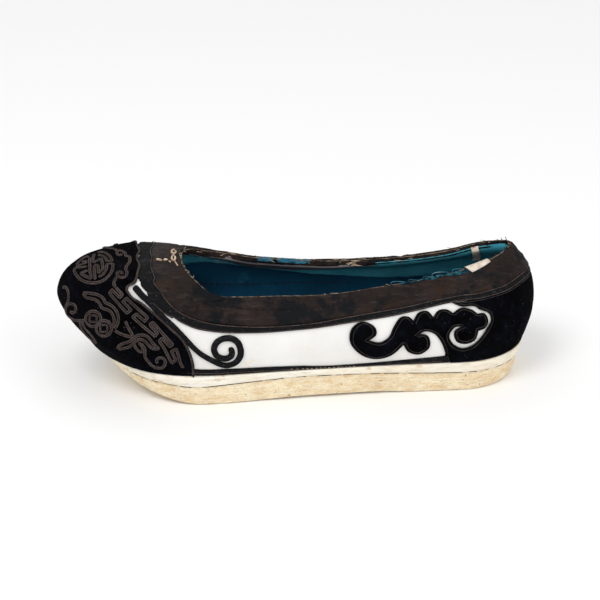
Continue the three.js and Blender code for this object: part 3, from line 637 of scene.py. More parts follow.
def sewn(path, width, height, section, base=0.0, twist=0.0, twist_pitch=1.2, taper=True):
    """A cord or tape along a path of u and v; a third column, if any, is its share of the width."""
    u, v = path[:, 0], path[:, 1]
    share = path[:, 2] if path.shape[1] > 2 else np.ones(len(path))
    places = skin(u, v, -base)
    normals = outward(u, v)
    across = unit(np.cross(normals, unit(np.gradient(places, axis=0))))
    run = run_along(places)
    ends = np.ones(len(path))
    if taper:
        ends = rounded(run / max(run[-1], NUDGE), min(0.5, width / max(run[-1], NUDGE) / 2)) * 0.85 + 0.15
    rings = []
    for a, h in section:
        wave = 1 + twist * np.sin(2 * np.pi * (run / twist_pitch + 0.25 * np.sign(a)))
        lift = h * height * np.where(h > 0, wave, 1) * ends
        rings.append(places + across * (a * width / 2 * share * ends)[:, None] + normals * lift[:, None])
    return loft(np.stack(rings, 1))


def tube(path, radius, around=6):
    """A round thread along points in mm; radius is one number, or one for each point."""
    ahead = unit(np.gradient(path, axis=0))
    across = unit(np.cross(ahead, [0.13, 0.21, 0.97]))
    upward = np.cross(across, ahead)
    size = np.broadcast_to(radius, len(path))[:, None]
    angles = np.linspace(0, 2 * np.pi, around, endpoint=False)
    rings = [path + size * (across * math.cos(a) + upward * math.sin(a)) for a in angles]
    return loft(np.stack(rings, 1))


def outline_path(runs, steps=8):
    """The smooth line through several runs, with a corner between each two."""
    joined = []
    for run in runs:
        points = run if not joined else [joined[-1][-1]] + list(run)
        joined.append(smooth_run(points, steps))
    return np.vstack(joined)


# Materials
class Nodes:
    """Short names for building a material's nodes."""

    def __init__(self, material):
        self.tree = material.node_tree
        self.shader = self.tree.nodes["Principled BSDF"]
        self.place = self.tree.nodes.new("ShaderNodeTexCoord").outputs["Object"]
        self.noises = {}

    def feed(self, socket, value):
        if isinstance(value, bpy.types.NodeSocket):
            self.tree.links.new(value, socket)
        else:
            socket.default_value = value

    def noise(self, scale, detail, roughness=0.5):
        """Noise of a scale, or of three along x, y and z, in turns per metre."""
        key = (scale, detail, roughness)
        if key in self.noises:
            return self.noises[key]
        vector = self.place
        if isinstance(scale, tuple):
            mapping = self.tree.nodes.new("ShaderNodeMapping")
            self.feed(mapping.inputs["Vector"], self.place)
            mapping.inputs["Scale"].default_value = scale
            vector, scale = mapping.outputs["Vector"], 1
        node = self.tree.nodes.new("ShaderNodeTexNoise")
        values = {"Scale": scale, "Detail": detail, "Roughness": roughness, "Vector": vector}
        for name, value in values.items():
            self.feed(node.inputs[name], value)
        self.noises[key] = node.outputs["Fac"]
        return self.noises[key]

    def field(self, noise, low=None, high=None, dark=0.0, light=1.0):
        """Noise as it is, or as grey from dark to light between two of its values."""
        value = self.noise(*noise)
        if low is None:
            return value
        node = self.tree.nodes.new("ShaderNodeValToRGB")
        self.feed(node.inputs["Fac"], value)
        for element, at, grey in zip(node.color_ramp.elements, (low, high), (dark, light)):
            element.position = at
            element.color = (grey, grey, grey, 1)
        return node.outputs["Color"]

    def mix(self, factor, a, b):
        node = self.tree.nodes.new("ShaderNodeMix")
        node.data_type = "RGBA"
        self.feed(node.inputs[0], factor)
        self.feed(node.inputs[6], a if isinstance(a, bpy.types.NodeSocket) else (*a, 1))
        self.feed(node.inputs[7], (*b, 1))
        return node.outputs[2]

    def bump(self, height, strength, distance_mm, under):
        node = self.tree.nodes.new("ShaderNodeBump")
        node.inputs["Strength"].default_value = strength
        node.inputs["Distance"].default_value = distance_mm * MM
        self.feed(node.inputs["Height"], height)
        if under:
            self.feed(node.inputs["Normal"], under)
        return node.outputs["Normal"]


def new_material(name, base, roughness, specular, ground=None, layers=(), bumps=(), rough=None):
    """A material: a ground colour, colours laid over it by noise, bumps and uneven roughness.

    base is its plain colour, near what the nodes give. A noise is a scale, detail and roughness. In
    layers, bumps and rough it is followed by the two values between which it runs, if it is ramped,
    and by the shares at those values. Bumps end with their strength and their height in mm.
    """
    material = bpy.data.materials.new(name)
    material.use_nodes = True
    nodes = Nodes(material)
    nodes.shader.inputs["Base Color"].default_value = (*base, 1)
    nodes.shader.inputs["Roughness"].default_value = roughness
    nodes.shader.inputs["Specular IOR Level"].default_value = specular
    color, normal = ground, None
    for *field, over in layers:
        color = nodes.mix(nodes.field(*field), color, over)
    for *field, strength, height in bumps:
        normal = nodes.bump(nodes.field(*field), strength, height, normal)
    for socket, value in (("Base Color", color), ("Normal", normal)):
        if value:
            nodes.feed(nodes.shader.inputs[socket], value)
    if rough:
        nodes.feed(nodes.shader.inputs["Roughness"], nodes.field(*rough))
    return material


def cotton(name, light, dark, stain, stained_from):
    """Plain cloth of two shades, with stains where the noise is above a value."""
    return new_material(
        name, light, 0.95, 0.12, light,
        [((30, 4, 0.6), 0.3, 0.7, dark), ((55, 5, 0.7), stained_from, stained_from + 0.14, stain)],
        [((1500, 2), 0.35, 0.12)])


def thread(name, light, dark):
    """Sewing thread, or what is left of a torn edge."""
    return new_material(name, light, 0.9, 0.1, dark, [((400, 3), 0.35, 0.65, light)],
                        [((2200, 1), 0.5, 0.15)])


BLACK_VELVET = new_material(
    "black_velvet", (0.002, 0.002, 0.0035), 1.0, 0.02, (0.0010, 0.0010, 0.0012),
    [((70, 3), 0.35, 0.7, (0.0026, 0.0027, 0.0038)),
     ((160, 4, 0.7), 0.5, 0.72, (0.0035, 0.0042, 0.0085)),
     ((800, 1), 0.72, 0.77, (0.03, 0.032, 0.04))],
    [((1400, 2), 0.8, 0.4)])
# Brown in patches, with worn, rusty and navy places over it
BROWN_SATIN = new_material(
    "brown_satin", (0.014, 0.009, 0.008), 0.6, 0.11, (0.009, 0.0062, 0.0057),
    [((45, 4, 0.65), 0.3, 0.7, (0.024, 0.0150, 0.0125)),
     (((90, 200, 620), 5, 0.78), 0.52, 0.70, (0.043, 0.031, 0.027)),
     (((50, 80, 170), 4, 0.75), 0.54, 0.68, (0.027, 0.012, 0.0065)),
     ((42, 5, 0.75), 0.49, 0.58, (0.003, 0.0035, 0.005))],
    [(((240, 500, 1500), 2), 0.9, 0.4)],
    ((45, 4, 0.65), 0.3, 0.7, 0.72, 0.5))
# Satin folded down inside the collar: its grey-brown is made far lighter than the band's, as painted light
# where the collar's inside lies in shade
FOLD_SATIN_PAINTED_LIGHT = cotton("fold_satin_painted_light", (0.20, 0.185, 0.20), (0.11, 0.095, 0.10), (0.33, 0.29, 0.27), 0.58)
BLACK_RIBBON = new_material(
    "black_ribbon", (0.005, 0.005, 0.006), 0.8, 0.1, (0.0045, 0.0047, 0.0055),
    [(((170, 170, 520), 4, 0.75), 0.54, 0.74, (0.026, 0.027, 0.029)),
     ((900, 2), 0.66, 0.72, (0.05, 0.05, 0.05))],
    [(((1800, 1800, 900), 1), 0.7, 0.25)])
BROWN_BRAID = new_material(
    "brown_braid", (0.066, 0.048, 0.043), 0.8, 0.15, (0.046, 0.034, 0.031),
    [((180, 3), 0.35, 0.68, (0.090, 0.069, 0.063)),
     ((1500, 2), 0.5, 0.66, (0.02, 0.015, 0.013))],
    [((2600, 1), 0.6, 0.2)])
WHITE_COTTON = cotton("white_cotton", (0.84, 0.83, 0.81), (0.75, 0.735, 0.705), (0.72, 0.57, 0.42), 0.63)
# Off-white cloth round the upper layer of the sole, soiled and worn at its edges
BOUND_SOLE = new_material(
    "bound_sole", (0.86, 0.80, 0.68), 0.95, 0.1, (0.90, 0.87, 0.79),
    [((26, 4, 0.65), 0.35, 0.65, (0.86, 0.79, 0.65)),
     (((120, 120, 900), 5, 0.75), 0.52, 0.70, 0, 0.8, (0.72, 0.58, 0.38)),
     (((60, 60, 200), 5, 0.75), 0.57, 0.70, (0.56, 0.40, 0.24)),
     ((420, 3, 0.8), 0.68, 0.73, (0.22, 0.14, 0.09))],
    [(((120, 120, 900), 5, 0.75), 0.52, 0.70, 0, 0.8, 0.5, 0.4), ((1500, 2), 0.4, 0.15)])
NAVY_LINING = cotton("navy_lining", (0.005, 0.070, 0.135), (0.004, 0.030, 0.066), (0.014, 0.105, 0.17), 0.58)
# Teal facing, made lighter than the cloth is: painted light on the inner wall, which lies in shade
TEAL_FACING_PAINTED_LIGHT = cotton("teal_facing", (0.070, 0.38, 0.47), (0.035, 0.24, 0.33), (0.26, 0.48, 0.52), 0.58)
# Frayed teal cloth, with dark holes and pale threads
TORN_CLOTH = new_material(
    "torn_cloth", (0.02, 0.13, 0.17), 0.95, 0.05, (0.008, 0.052, 0.075),
    [((260, 4, 0.7), 0.38, 0.62, (0.026, 0.13, 0.17)),
     (((420, 420, 900), 4, 0.75), 0.47, 0.58, (0.003, 0.012, 0.018)),
     (((500, 500, 1500), 4, 0.75), 0.60, 0.68, (0.30, 0.38, 0.37))],
    [(((420, 420, 900), 4, 0.75), 0.47, 0.58, 0.8, 0.5)])
BLUE_CLOTH = cotton("blue_cloth", (0.035, 0.17, 0.25), (0.012, 0.08, 0.14), (0.22, 0.30, 0.33), 0.58)
INSOLE_CLOTH = cotton("insole_cloth", (0.003, 0.032, 0.070), (0.002, 0.014, 0.032), (0.008, 0.055, 0.10), 0.6)
# Layers of cloth seen edge on: blotches, layers, fibres, stains, then chips, flecks and pits
LAYERED_SOLE = new_material(
    "layered_sole", (0.78, 0.62, 0.38), 0.95, 0.1, (0.77, 0.54, 0.28),
    [(((130, 130, 260), 5, 0.72), 0.34, 0.58, (0.98, 0.85, 0.60)),
     (((60, 60, 1100), 4, 0.7), 0.42, 0.66, 0, 0.6, (0.96, 0.89, 0.73)),
     (((500, 500, 1300), 4, 0.75), 0.52, 0.74, 0, 0.5, (0.56, 0.38, 0.18)),
     ((34, 4, 0.65), 0.56, 0.76, 0, 0.6, (0.66, 0.43, 0.20)),
     (((200, 200, 420), 4, 0.7), 0.62, 0.70, (0.97, 0.93, 0.82)),
     (((260, 260, 520), 5, 0.8), 0.60, 0.67, (0.42, 0.25, 0.10)),
     ((560, 3, 0.7), 0.665, 0.72, (0.12, 0.07, 0.04))],
    [(((130, 130, 260), 5, 0.72), 0.8, 1.2), (((500, 500, 1300), 4, 0.75), 0.9, 0.7)])
BEIGE_THREAD = thread("beige_thread", (0.62, 0.50, 0.38), (0.30, 0.21, 0.14))
DARK_THREAD = thread("dark_thread", (0.012, 0.010, 0.010), (0.004, 0.004, 0.004))
GREY_THREAD = thread("grey_thread", (0.050, 0.044, 0.043), (0.020, 0.017, 0.017))
RUST_THREAD = thread("rust_thread", (0.045, 0.028, 0.020), (0.012, 0.008, 0.007))
PALE_TAPE = thread("pale_tape", (0.72, 0.64, 0.55), (0.50, 0.42, 0.34))
# Beige tape on the inner wall, lightened almost to white: painted light where the inside lies in shade
INNER_TAPE_PAINTED_LIGHT = thread("inner_tape_painted_light", (0.95, 0.80, 0.68), (0.72, 0.56, 0.44))
EDGE_THREAD = thread("edge_thread", (0.26, 0.20, 0.14), (0.05, 0.035, 0.026))


# Sole
def sole_ring(u, down, outset, drop):
    """A ring round the sole: share of the way down its side, how far out, and mm further down."""
    t, side = fold(u)
    x, half = level_point(JOINT, t)
    top = np.stack([x * LENGTH - MIDDLE, side * half, sole_top(x)], -1)
    low_x, low_half = level_point(TREAD, t)
    low_z = ease_through(UNDERSIDE, 1, low_x) * SOLE_STACK
    low = np.stack([low_x * LENGTH - MIDDLE, side * low_half, low_z], -1)
    share = down(x) + drop / (top[..., 2] - low[..., 2])
    point = top + (low - top) * share[..., None]

    def plan(at):
        ring_t, ring_side = fold(at)
        ring_x, ring_half = level_point(JOINT, ring_t)
        return np.stack([ring_x * LENGTH, ring_side * ring_half], -1)

    along = unit(plan(u + PROBE) - plan(u - PROBE))
    out = np.stack([along[..., 1], -along[..., 0], np.zeros_like(x)], -1)
    return point + out * np.asarray(outset)[..., None]


def layer_share(x):
    """How far down the sole's side the line between its layers runs."""
    return ease_through(LAYER_LINE, 1, x)


def outsole_share(s):
    """The way down the side at a share of the lower layer, from the ground up."""
    return lambda x: 1 - s * (1 - layer_share(x))


def midsole_share(s):
    """The way down the side at a share of the upper layer, from the layer line up."""
    return lambda x: (1 - s) * layer_share(x)


def slab(rings):
    """Points and faces of a solid through rings, closed across the foot at its top and bottom."""
    columns = len(rings[0])
    points = np.stack(rings, 1)
    rows = len(rings)
    faces = quad_faces(columns, rows, closed=True)
    half = columns // 2
    for i in range(half):
        a, b, c, d = i, i + 1, columns - i - 1, (columns - i) % columns
        top = [k * rows + rows - 1 for k in (a, b, c, d)]
        low = [k * rows for k in (a, b, c, d)]
        if i == 0:
            top, low = top[:3], low[:3]
        if i == half - 1:
            top, low = [top[0], top[1], top[-1]], [low[0], low[1], low[-1]]
        faces.append(top)
        faces.append(low[::-1])
    return points.reshape(-1, 3), faces


# Places round the sole; mm that its lower layer stands out, its layers of cloth and their grooves in mm
SOLE_STATIONS = np.linspace(0, 2, 720, endpoint=False)
OUTSOLE_OUTSET = 0.1
OUTSOLE_LAYERS = 7
LAYER_GROOVE = 0.16


def make_outsole():
    rows = 34
    rings = [sole_ring(SOLE_STATIONS, outsole_share(0), OUTSOLE_OUTSET - SOLE_EDGE, 0)]
    for k in range(rows + 1):
        s = k / rows
        flat = sole_ring(SOLE_STATIONS, outsole_share(s), 0, 0)
        groove = LAYER_GROOVE * (abs(math.sin(math.pi * OUTSOLE_LAYERS * s)) - 1)
        bulge = 0.5 * math.sin(math.pi * s)
        rough = 0.28 * grain(flat * [1, 1, 3.2], 2.6, 4.0) + 0.16 * grain(flat, 0.9, 9.0)
        edge = -1.0 * max(0.0, 1 - s * rows / 3) ** 2
        outset = OUTSOLE_OUTSET + bulge + groove + rough + edge
        rings.append(sole_ring(SOLE_STATIONS, outsole_share(s), outset, GAP / 2 if s == 1 else 0.0))
    points, faces = slab(rings)
    points[:, 2] = np.maximum(points[:, 2], 0)
    add_piece("outsole_layers", (points, faces), LAYERED_SOLE, "layered_sole", "outsole")


def make_midsole():
    rows = 10
    rings = []
    for k in range(rows + 1):
        s = k / rows
        flat = sole_ring(SOLE_STATIONS, midsole_share(s), 0, 0)
        bulge = 0.35 * math.sin(math.pi * s) ** 0.6
        rough = 0.14 * grain(flat * [1, 1, 0.4], 5.0, 2.0) + 0.08 * grain(flat, 1.6, 6.0)
        outset = SOLE_LEDGE + bulge + rough - 0.6 * max(0.0, abs(2 * s - 1) - 0.8)
        rings.append(sole_ring(SOLE_STATIONS, midsole_share(s), outset, -GAP / 2 if k == 0 else 0.0))
    add_piece("midsole_cloth", slab(rings), BOUND_SOLE, "bound_sole", "midsole")


def make_insole():
    u = np.linspace(0, 2, 240, endpoint=False)
    foot = skin(u, np.zeros_like(u), LINING_DEPTH + GAP)
    rings = [foot, foot + [0, 0, INSOLE_THICKNESS * 0.7], foot * [0.995, 0.98, 1] + [0, 0, INSOLE_THICKNESS]]
    add_piece("insole_cloth", slab(rings), INSOLE_CLOTH, "insole_cotton", "insole")


# Upper
def make_upper():
    """White cotton outside and dark lining inside, in the upper's own wall."""
    u, v = grid_of(0, 2, 440, 44, endpoint=False)
    places = last_point(u, v)
    between = LINING_DEPTH - LINING
    puckers = 0.16 * grain(places * [1, 1, 0.35], 7.0, 3.0)
    cotton_sheet = cloth_grid(u, v, UPPER_DEPTH - puckers * rounded(v, 0.1), between, closed=True)
    add_piece("upper_cotton", cotton_sheet, WHITE_COTTON, "white_cotton", "upper")
    folds = 0.25 * grain(places * [0.6, 1, 1], 9.0, 8.0)
    lining = cloth_grid(u, v, between + 0.05, LINING_DEPTH + folds * rounded(v, 0.1), closed=True)
    add_piece("upper_lining", lining, NAVY_LINING, "white_cotton", "upper")


def fold_width(u):
    """How far the satin is folded down inside, in mm."""
    t = fold(u)[0]
    wander = 1 + 0.12 * grain(np.stack([np.cos(np.pi * u), np.sin(np.pi * u), 0 * u], -1), 0.07)
    return ease_through(FOLD_WIDTH, 1, t) * wander


def heel_rise(u):
    """How much higher the worn rim stands round the heel, in mm."""
    s = np.clip((fold(u)[0] - HEEL_RISE_FROM) / HEEL_RISE_RUN, 0, 1)
    return HEEL_RISE * s * s * (3 - 2 * s)


def crease_depth(u, v):
    """The listed creases as mm inwards at places on both sides."""
    t = fold(u)[0]
    total = np.zeros(np.shape(t))
    ends = np.array(CREASES)
    end_u, end_v = locate(np.vstack([ends[:, :2], ends[:, 2:4]]), photo_view)
    ends_mm = np.stack([end_u, end_v], -1) * PARAMETER_SCALE
    places = np.stack([t, v], -1) * PARAMETER_SCALE
    for k, (width, depth) in enumerate(ends[:, 4:]):
        a, b = ends_mm[k], ends_mm[k + len(ends)]
        along = np.clip((places - a) @ (b - a) / ((b - a) @ (b - a)), 0, 1)
        away = np.linalg.norm(places - a - along[..., None] * (b - a), axis=-1)
        total += depth * (np.exp(-(away / width) ** 2) - 0.5 * np.exp(-((away - 1.7 * width) / width) ** 2))
    return total


def make_collar_band():
    """Satin from the ribbon up, over the collar edge and down inside."""
    columns, outside, over, inside = 800, 28, 9, 12
    back_of_satin = LINING_DEPTH + BACKING
    u_ring = np.linspace(0, 2, columns, endpoint=False)
    low = band_at(u_ring)
    per_mm = 1 / collar_mm(u_ring)
    rough = grain(last_point(u_ring, 1.0), 3.2, 6.0)
    rows_v, rows_depth = [], []
    for s in np.linspace(0, 1, outside):
        rows_v.append(low + (1 - low) * s)
        rows_depth.append(TRIM * (1 - rounded(min(s, 0.5), 0.12)))
    for angle in np.linspace(0, math.pi, over + 2)[1:-1]:
        rise = (0.75 + 0.45 * rough) * math.sin(angle) + heel_rise(u_ring) * math.sin(angle) ** 0.3
        rows_v.append(1 + rise * per_mm)
        rows_depth.append(back_of_satin * (1 - math.cos(angle)) / 2)
    for s in np.linspace(0, 1, inside):
        rows_v.append(1 - fold_width(u_ring) * per_mm * s)
        rows_depth.append(back_of_satin + 0.55 * rounded((1 - s) / 2, 0.06))
    v = np.stack(rows_v, 1)
    rows = v.shape[1]
    depth = np.tile(rows_depth, (columns, 1))
    u = np.repeat(u_ring[:, None], rows, 1)
    places = last_point(u, v)
    edge = places[:, outside - 1]
    run = run_along(np.concatenate([edge[-1:], edge]))[1:]
    up = v - low[:, None]
    lean = run[:, None] + up * 9
    wave = np.sin(2 * np.pi * lean / PLEAT_PITCH + 2.2 * grain(places, 11.0, 2.0))
    pleats = 0.10 * wave * (grain(places, 14.0, 3.0) + 0.6)
    creases = 0.36 * grain(places * [0.35, 0.5, 2.0], 6.0, 1.0) + 0.14 * grain(places, 2.2, 5.0)
    hem = np.clip(up / 0.05, 0, 1)
    seam = -0.28 * np.exp(-((up / (1 - low[:, None]) - BAND_SEAM) / 0.035) ** 2)
    outward_row = np.arange(rows) < outside + over // 2
    relief = creases + pleats + np.where(outward_row, seam - crease_depth(u, np.minimum(v, 1)), 0)
    top = skin(u, v, depth - np.where(outward_row, 1, -1) * relief * hem)
    back_depth = np.clip(depth - 0.45, 0, LINING_DEPTH)
    back = skin(u, np.minimum(v, 0.999), np.where(outward_row, UPPER_DEPTH + BACKING, back_depth))
    sheet = sheet_between(top, back, closed=True)
    add_piece("collar_band_satin", sheet, BROWN_SATIN, "brown_satin", "collar_band")


def rim_point(u, depth, lift):
    """A point on the collar's rim: mm in from its outside and mm above its edge."""
    u = np.asarray(u, float)
    return skin(u, 1 + (lift + heel_rise(u) * np.clip(lift, 0, 1)) / collar_mm(u), depth)


def ribbon_foot(u):
    """The ribbon's lower edge, with the part that spreads over the vamp."""
    spread_u, spread_v = locate(RIBBON_SPREAD, photo_view)
    t = fold(u)[0]
    knots = np.append(np.maximum.accumulate(spread_u[1:]), 0.40)
    low = np.interp(t, np.append(0, knots), np.append([0.905], np.append(spread_v[1:], 1)))
    tuck = 0.7 / RISE * np.clip((t - 0.77) / 0.03, 0, 1)
    return np.minimum(ribbon_at(u) - tuck, low)


def make_edge_ribbon():
    u, s = grid_of(0, 2, 900, 14, endpoint=False)
    foot = ribbon_foot(u)
    v = foot + (band_at(u) - foot) * s
    relief = 0.14 * grain(last_point(u, v), 2.0, 7.0) * rounded(s, 0.2)
    outer = TRIM - 0.75 * rounded(s, 0.12) - relief
    sheet = cloth_grid(u, v, outer, UPPER_DEPTH + BACKING, closed=True)
    add_piece("edge_ribbon_twill", sheet, BLACK_RIBBON, "black_ribbon", "edge_ribbon")


# Toe cap
def cap_line():
    """The cap's rear edge as v against t, from the sole joint to the ridge."""
    t, v = locate(outline_path(CAP_REAR, 10), side_view)
    rising = np.maximum.accumulate(v)
    keep = np.concatenate([[True], np.diff(rising) > 1e-4])
    return t[keep], rising[keep]


cap_t, cap_v = cap_line()
RIDGE_TIP = 0.905


def cap_edge(v):
    """How far round the toe the cap reaches at a height."""
    t = np.interp(v, np.append(cap_v, RIDGE_TIP), np.append(cap_t, 0.0))
    return np.maximum(t, 0.0005)


def make_toe_cap():
    heights = np.linspace(0, RIDGE_TIP - 0.001, 120)
    s, v = np.meshgrid(np.linspace(-1, 1, 221), heights, indexing="ij")
    u = s * cap_edge(v)
    edge_distance = (1 - np.abs(s)) * cap_edge(v) * ROUND_MM
    soft = np.sqrt(1 - (1 - np.clip(edge_distance / 0.9, 0, 1)) ** 2)
    foot = rounded(np.clip(v / 0.04, 0, 0.5), 0.5)
    puff = 0.25 + 0.2 * grain(last_point(u, v), 9.0, 2.0)
    outer = TRIM - (TRIM * 0.85 + puff) * soft * (0.3 + 0.7 * foot)
    add_piece("toe_cap_velvet", cloth_grid(u, v, outer, TRIM), BLACK_VELVET, "black_velvet", "toe_cap")


# Counter with its cloud
BACK_EDGE = BACK_STRIP_WIDTH / 2


def back_edge_at(v):
    """How far round towards the heel's centre the counter reaches at a height."""
    t = np.linspace(0.85, 1, 200)
    places = last_point(t[:, None], np.asarray(v)[None, :])
    return np.array([np.interp(-BACK_EDGE, places[:, k, 1], t) for k in range(len(v))])


def counter_outline():
    """The cloud's edge and the counter's whole outline, once round, as u and v."""
    cloud = np.stack(locate(outline_path(CLOUD, 6), side_view), -1)
    foot_u, foot_v = locate([(BASE_END + 0.003, 0.1)], side_view)
    foot = np.array([[foot_u[0], foot_v[0]], [foot_u[0] + 0.004, 0.0]])
    rising = np.linspace(0, 1, 30)
    heel_top = float(ribbon_at(0.98)) - GAP / RISE
    back_v = rising * heel_top
    back = np.stack([back_edge_at(back_v), back_v], -1)
    bottom = np.stack([np.linspace(foot[-1, 0], back[0, 0], 40)[1:-1], np.zeros(38)], -1)
    start = cloud[0]
    ribbon_u = np.linspace(back[-1, 0], start[0], 40)[1:]
    top = np.stack([ribbon_u, ribbon_at(ribbon_u) - GAP / RISE], -1)
    return cloud, np.vstack([cloud, foot, bottom, back, top])


cloud_line, counter_ring = counter_outline()


def fill_outline(outline, spacing):
    """Triangles inside a closed outline of u and v, with points at about an even spacing."""
    ring = even_ring(outline, spacing * 0.7)
    low, high = ring.min(0), ring.max(0)
    columns = np.arange(low[0], high[0], spacing)
    inside = []
    for k, y in enumerate(np.arange(low[1], high[1], spacing * 0.87)):
        for x in columns + (spacing / 2 if k % 2 else 0):
            inside.append((x, y))
    inside = np.array(inside)
    inside = inside[(distance_to(inside, ring) > spacing * 0.55) & lies_inside(inside, ring)]
    places = [Vector(p) for p in np.vstack([ring, inside])]
    edges = [(i, (i + 1) % len(ring)) for i in range(len(ring))]
    points, _, faces, _, _, _ = delaunay_2d_cdt(places, edges, [], 1, 1e-5)
    points = np.array(points)
    return points / PARAMETER_SCALE, [list(face) for face in faces], distance_to(points, ring)


def distance_to(points, ring):
    """How far points lie from a closed ring of straight stretches."""
    ends = np.roll(ring, -1, axis=0)
    runs = ends - ring
    best = np.full(len(points), np.inf)
    for start, run in zip(ring, runs):
        share = np.clip(((points - start) @ run) / max(NUDGE, run @ run), 0, 1)
        best = np.minimum(best, np.linalg.norm(points - start - share[:, None] * run, axis=1))
    return best


def lies_inside(points, ring):
    """Which points lie inside a closed ring."""
    ends = np.roll(ring, -1, axis=0)
    inside = np.zeros(len(points), bool)
    for a, b in zip(ring, ends):
        spans = (a[1] > points[:, 1]) != (b[1] > points[:, 1])
        rise = b[1] - a[1] if b[1] != a[1] else NUDGE
        inside ^= spans & (points[:, 0] < (b[0] - a[0]) * (points[:, 1] - a[1]) / rise + a[0])
    return inside


def padded_shape(outline, spacing, thickness, puff, corner):
    """A closed sheet of cloth with an outline, rounded down at its edge."""
    places, faces, gap = fill_outline(outline, spacing)
    u, v = places[:, 0], places[:, 1]
    soft = np.sqrt(1 - (1 - np.clip(gap / corner, 0, 1)) ** 2)
    swell = puff * (1 - np.exp(-gap / (3 * corner)))
    outer = TRIM - thickness * soft - swell * (1 + 0.4 * grain(last_point(u, v), 6.0))
    count = len(u)
    sides = {}
    for face in faces:
        for a, b in zip(face, face[1:] + face[:1]):
            sides[(a, b)] = True
    rim = [(a, b) for a, b in sides if (b, a) not in sides]
    solid = faces + [[k + count for k in reversed(face)] for face in faces]
    solid += [[b, a, a + count, b + count] for a, b in rim]
    return np.concatenate([skin(u, v, outer), skin(u, v, TRIM)]), solid


def make_counters():
    shape = padded_shape(counter_ring, spacing=1.3, thickness=0.75, puff=0.45, corner=0.9)
    add_pairs(("cloud_counter", shape, BLACK_VELVET, "black_velvet"), replaces="heel_counter")


def make_back_strip():
    heights = np.linspace(0.0, float(ribbon_at(1.0)) - GAP / RISE, 50)
    v, s = np.meshgrid(heights, np.linspace(-1, 1, 13), indexing="ij")
    u = 1 + s * (1 - back_edge_at(heights))[:, None]
    soft = rounded((s + 1) / 2, 0.15)
    outer = TRIM - 0.8 * soft - 0.1 * grain(last_point(u, v), 2.5, 1.0) * soft
    points, faces = cloth_grid(u, v, outer, TRIM)
    strip = (points, [face[::-1] for face in faces])
    add_piece("back_strip_satin", strip, BROWN_SATIN, "brown_satin", "back_strip")


# Strips
def on_surface(paths, step):
    """Paths in the photograph's pixels as evenly spaced u and v, with their other columns."""
    paths = [np.asarray(path, float) for path in paths]
    u, v = locate(np.vstack([path[:, :2] for path in paths]), photo_view)
    placed = []
    start = 0
    for path in paths:
        here = slice(start, start + len(path))
        scaled = np.column_stack([u[here] * PARAMETER_SCALE[0], v[here] * PARAMETER_SCALE[1], path[:, 2:]])
        even = respace(scaled, step)
        even[:, :2] /= PARAMETER_SCALE
        placed.append(even)
        start += len(path)
    return placed


def make_curl_strips():
    path = on_surface([smooth_run(CURL_STRIP)], 0.45)[0]
    tape = sewn(path, CURL_WIDTH, 1.0, FLAT_TAPE, base=-TRIM, twist=0.05)
    add_pairs(("curl_strip_twill", tape, BLACK_RIBBON, "black_ribbon"), replaces="curl_strip")


def base_ends(past_end):
    """Where the base strip starts and ends, as u."""
    places = [(CAP_FOOT + 0.002, 0.02), (BASE_END + past_end, 0.02)]
    return locate(places, side_view)[0]


def make_base_strips():
    u, s = grid_of(*base_ends(0.012), 200, 7)
    v = s * ease_through(BASE_LINE, 1, u)
    outer = TRIM - 0.7 * rounded(s, 0.2) - 0.06 * grain(last_point(u, v), 1.5, 1.0)
    strip = cloth_grid(u, v, outer, TRIM)
    add_pairs(("base_strip_twill", strip, BLACK_RIBBON, "black_ribbon"), replaces="base_strip")


# Braid and thread
def ring_path(centre, across, up, turn=360.0, start=90.0, points=40):
    angles = np.radians(np.linspace(start, start + turn, points))
    return np.stack([centre[0] + across * np.cos(angles), centre[1] - up * np.sin(angles)], -1)


def make_toe_braid():
    """Couched braid on the velvet: the round sign and bracket on top, the rest on both sides."""
    step = 0.4
    sign = [ROUND_SIGN_CENTRE + np.array(run) * ROUND_SIGN_RADII for run in ROUND_SIGN]
    middle = [smooth_run(run) for run in sign + BRACKET]
    sides = [smooth_run(run) for run in SIDE_CURVES] + [np.array(KEY_FRET)]
    for k, coin in enumerate(COINS):
        sides.append(ring_path(coin, COIN_RADIUS, COIN_RADIUS, 372.0, 40.0 + 180 * k))
        square = ring_path(coin, COIN_HOLE, COIN_HOLE, 360.0, 45.0, 5)
        sides.append(np.column_stack([square, np.full(5, 0.7)]))
    tail_u, tail_v = locate([BRACKET[1][0], KEY_FRET[0]], photo_view)
    join = respace(np.array([[tail_u[0], tail_v[0]], [-tail_u[1], tail_v[1]]]) * PARAMETER_SCALE, step)
    parts, grooves = [], []
    size = (BRAID_WIDTH, BRAID_HEIGHT, DOUBLE_BRAID, BRAID_BASE)
    single = on_surface(middle, step)
    double = on_surface(sides, step)
    for paths, both in ((single, False), (double, True), ([join / PARAMETER_SCALE], False)):
        for path in paths:
            braid = [sewn(path, *size, twist=0.16, twist_pitch=1.1)]
            groove = [sewn(path[::2, :2], GROOVE_WIDTH, GROOVE_HEIGHT, ROUND_CORD, BRAID_BASE)]
            parts += both_sides(braid) if both else braid
            grooves += both_sides(groove) if both else groove
    add_piece("toe_braid", join_parts(parts), BROWN_BRAID, "brown_satin")
    add_piece("toe_braid_groove", join_parts(grooves), DARK_THREAD, "black_velvet")


def make_cap_piping():
    """A thin doubled cord along the cap's rear edge, over the ridge and down the far side."""
    v = np.linspace(0.004, RIDGE_TIP - 0.0015, 260)
    u = cap_edge(v) - 0.0022
    way = np.concatenate([np.stack([u, v], -1), np.stack([-u, v], -1)[::-1]])
    path = respace(way * PARAMETER_SCALE, 0.45) / PARAMETER_SCALE
    cord = sewn(path, PIPING_WIDTH, 0.75, DOUBLE_BRAID, 0.05, twist=0.15, twist_pitch=0.9)
    add_piece("cap_piping", cord, BROWN_BRAID, "brown_satin")


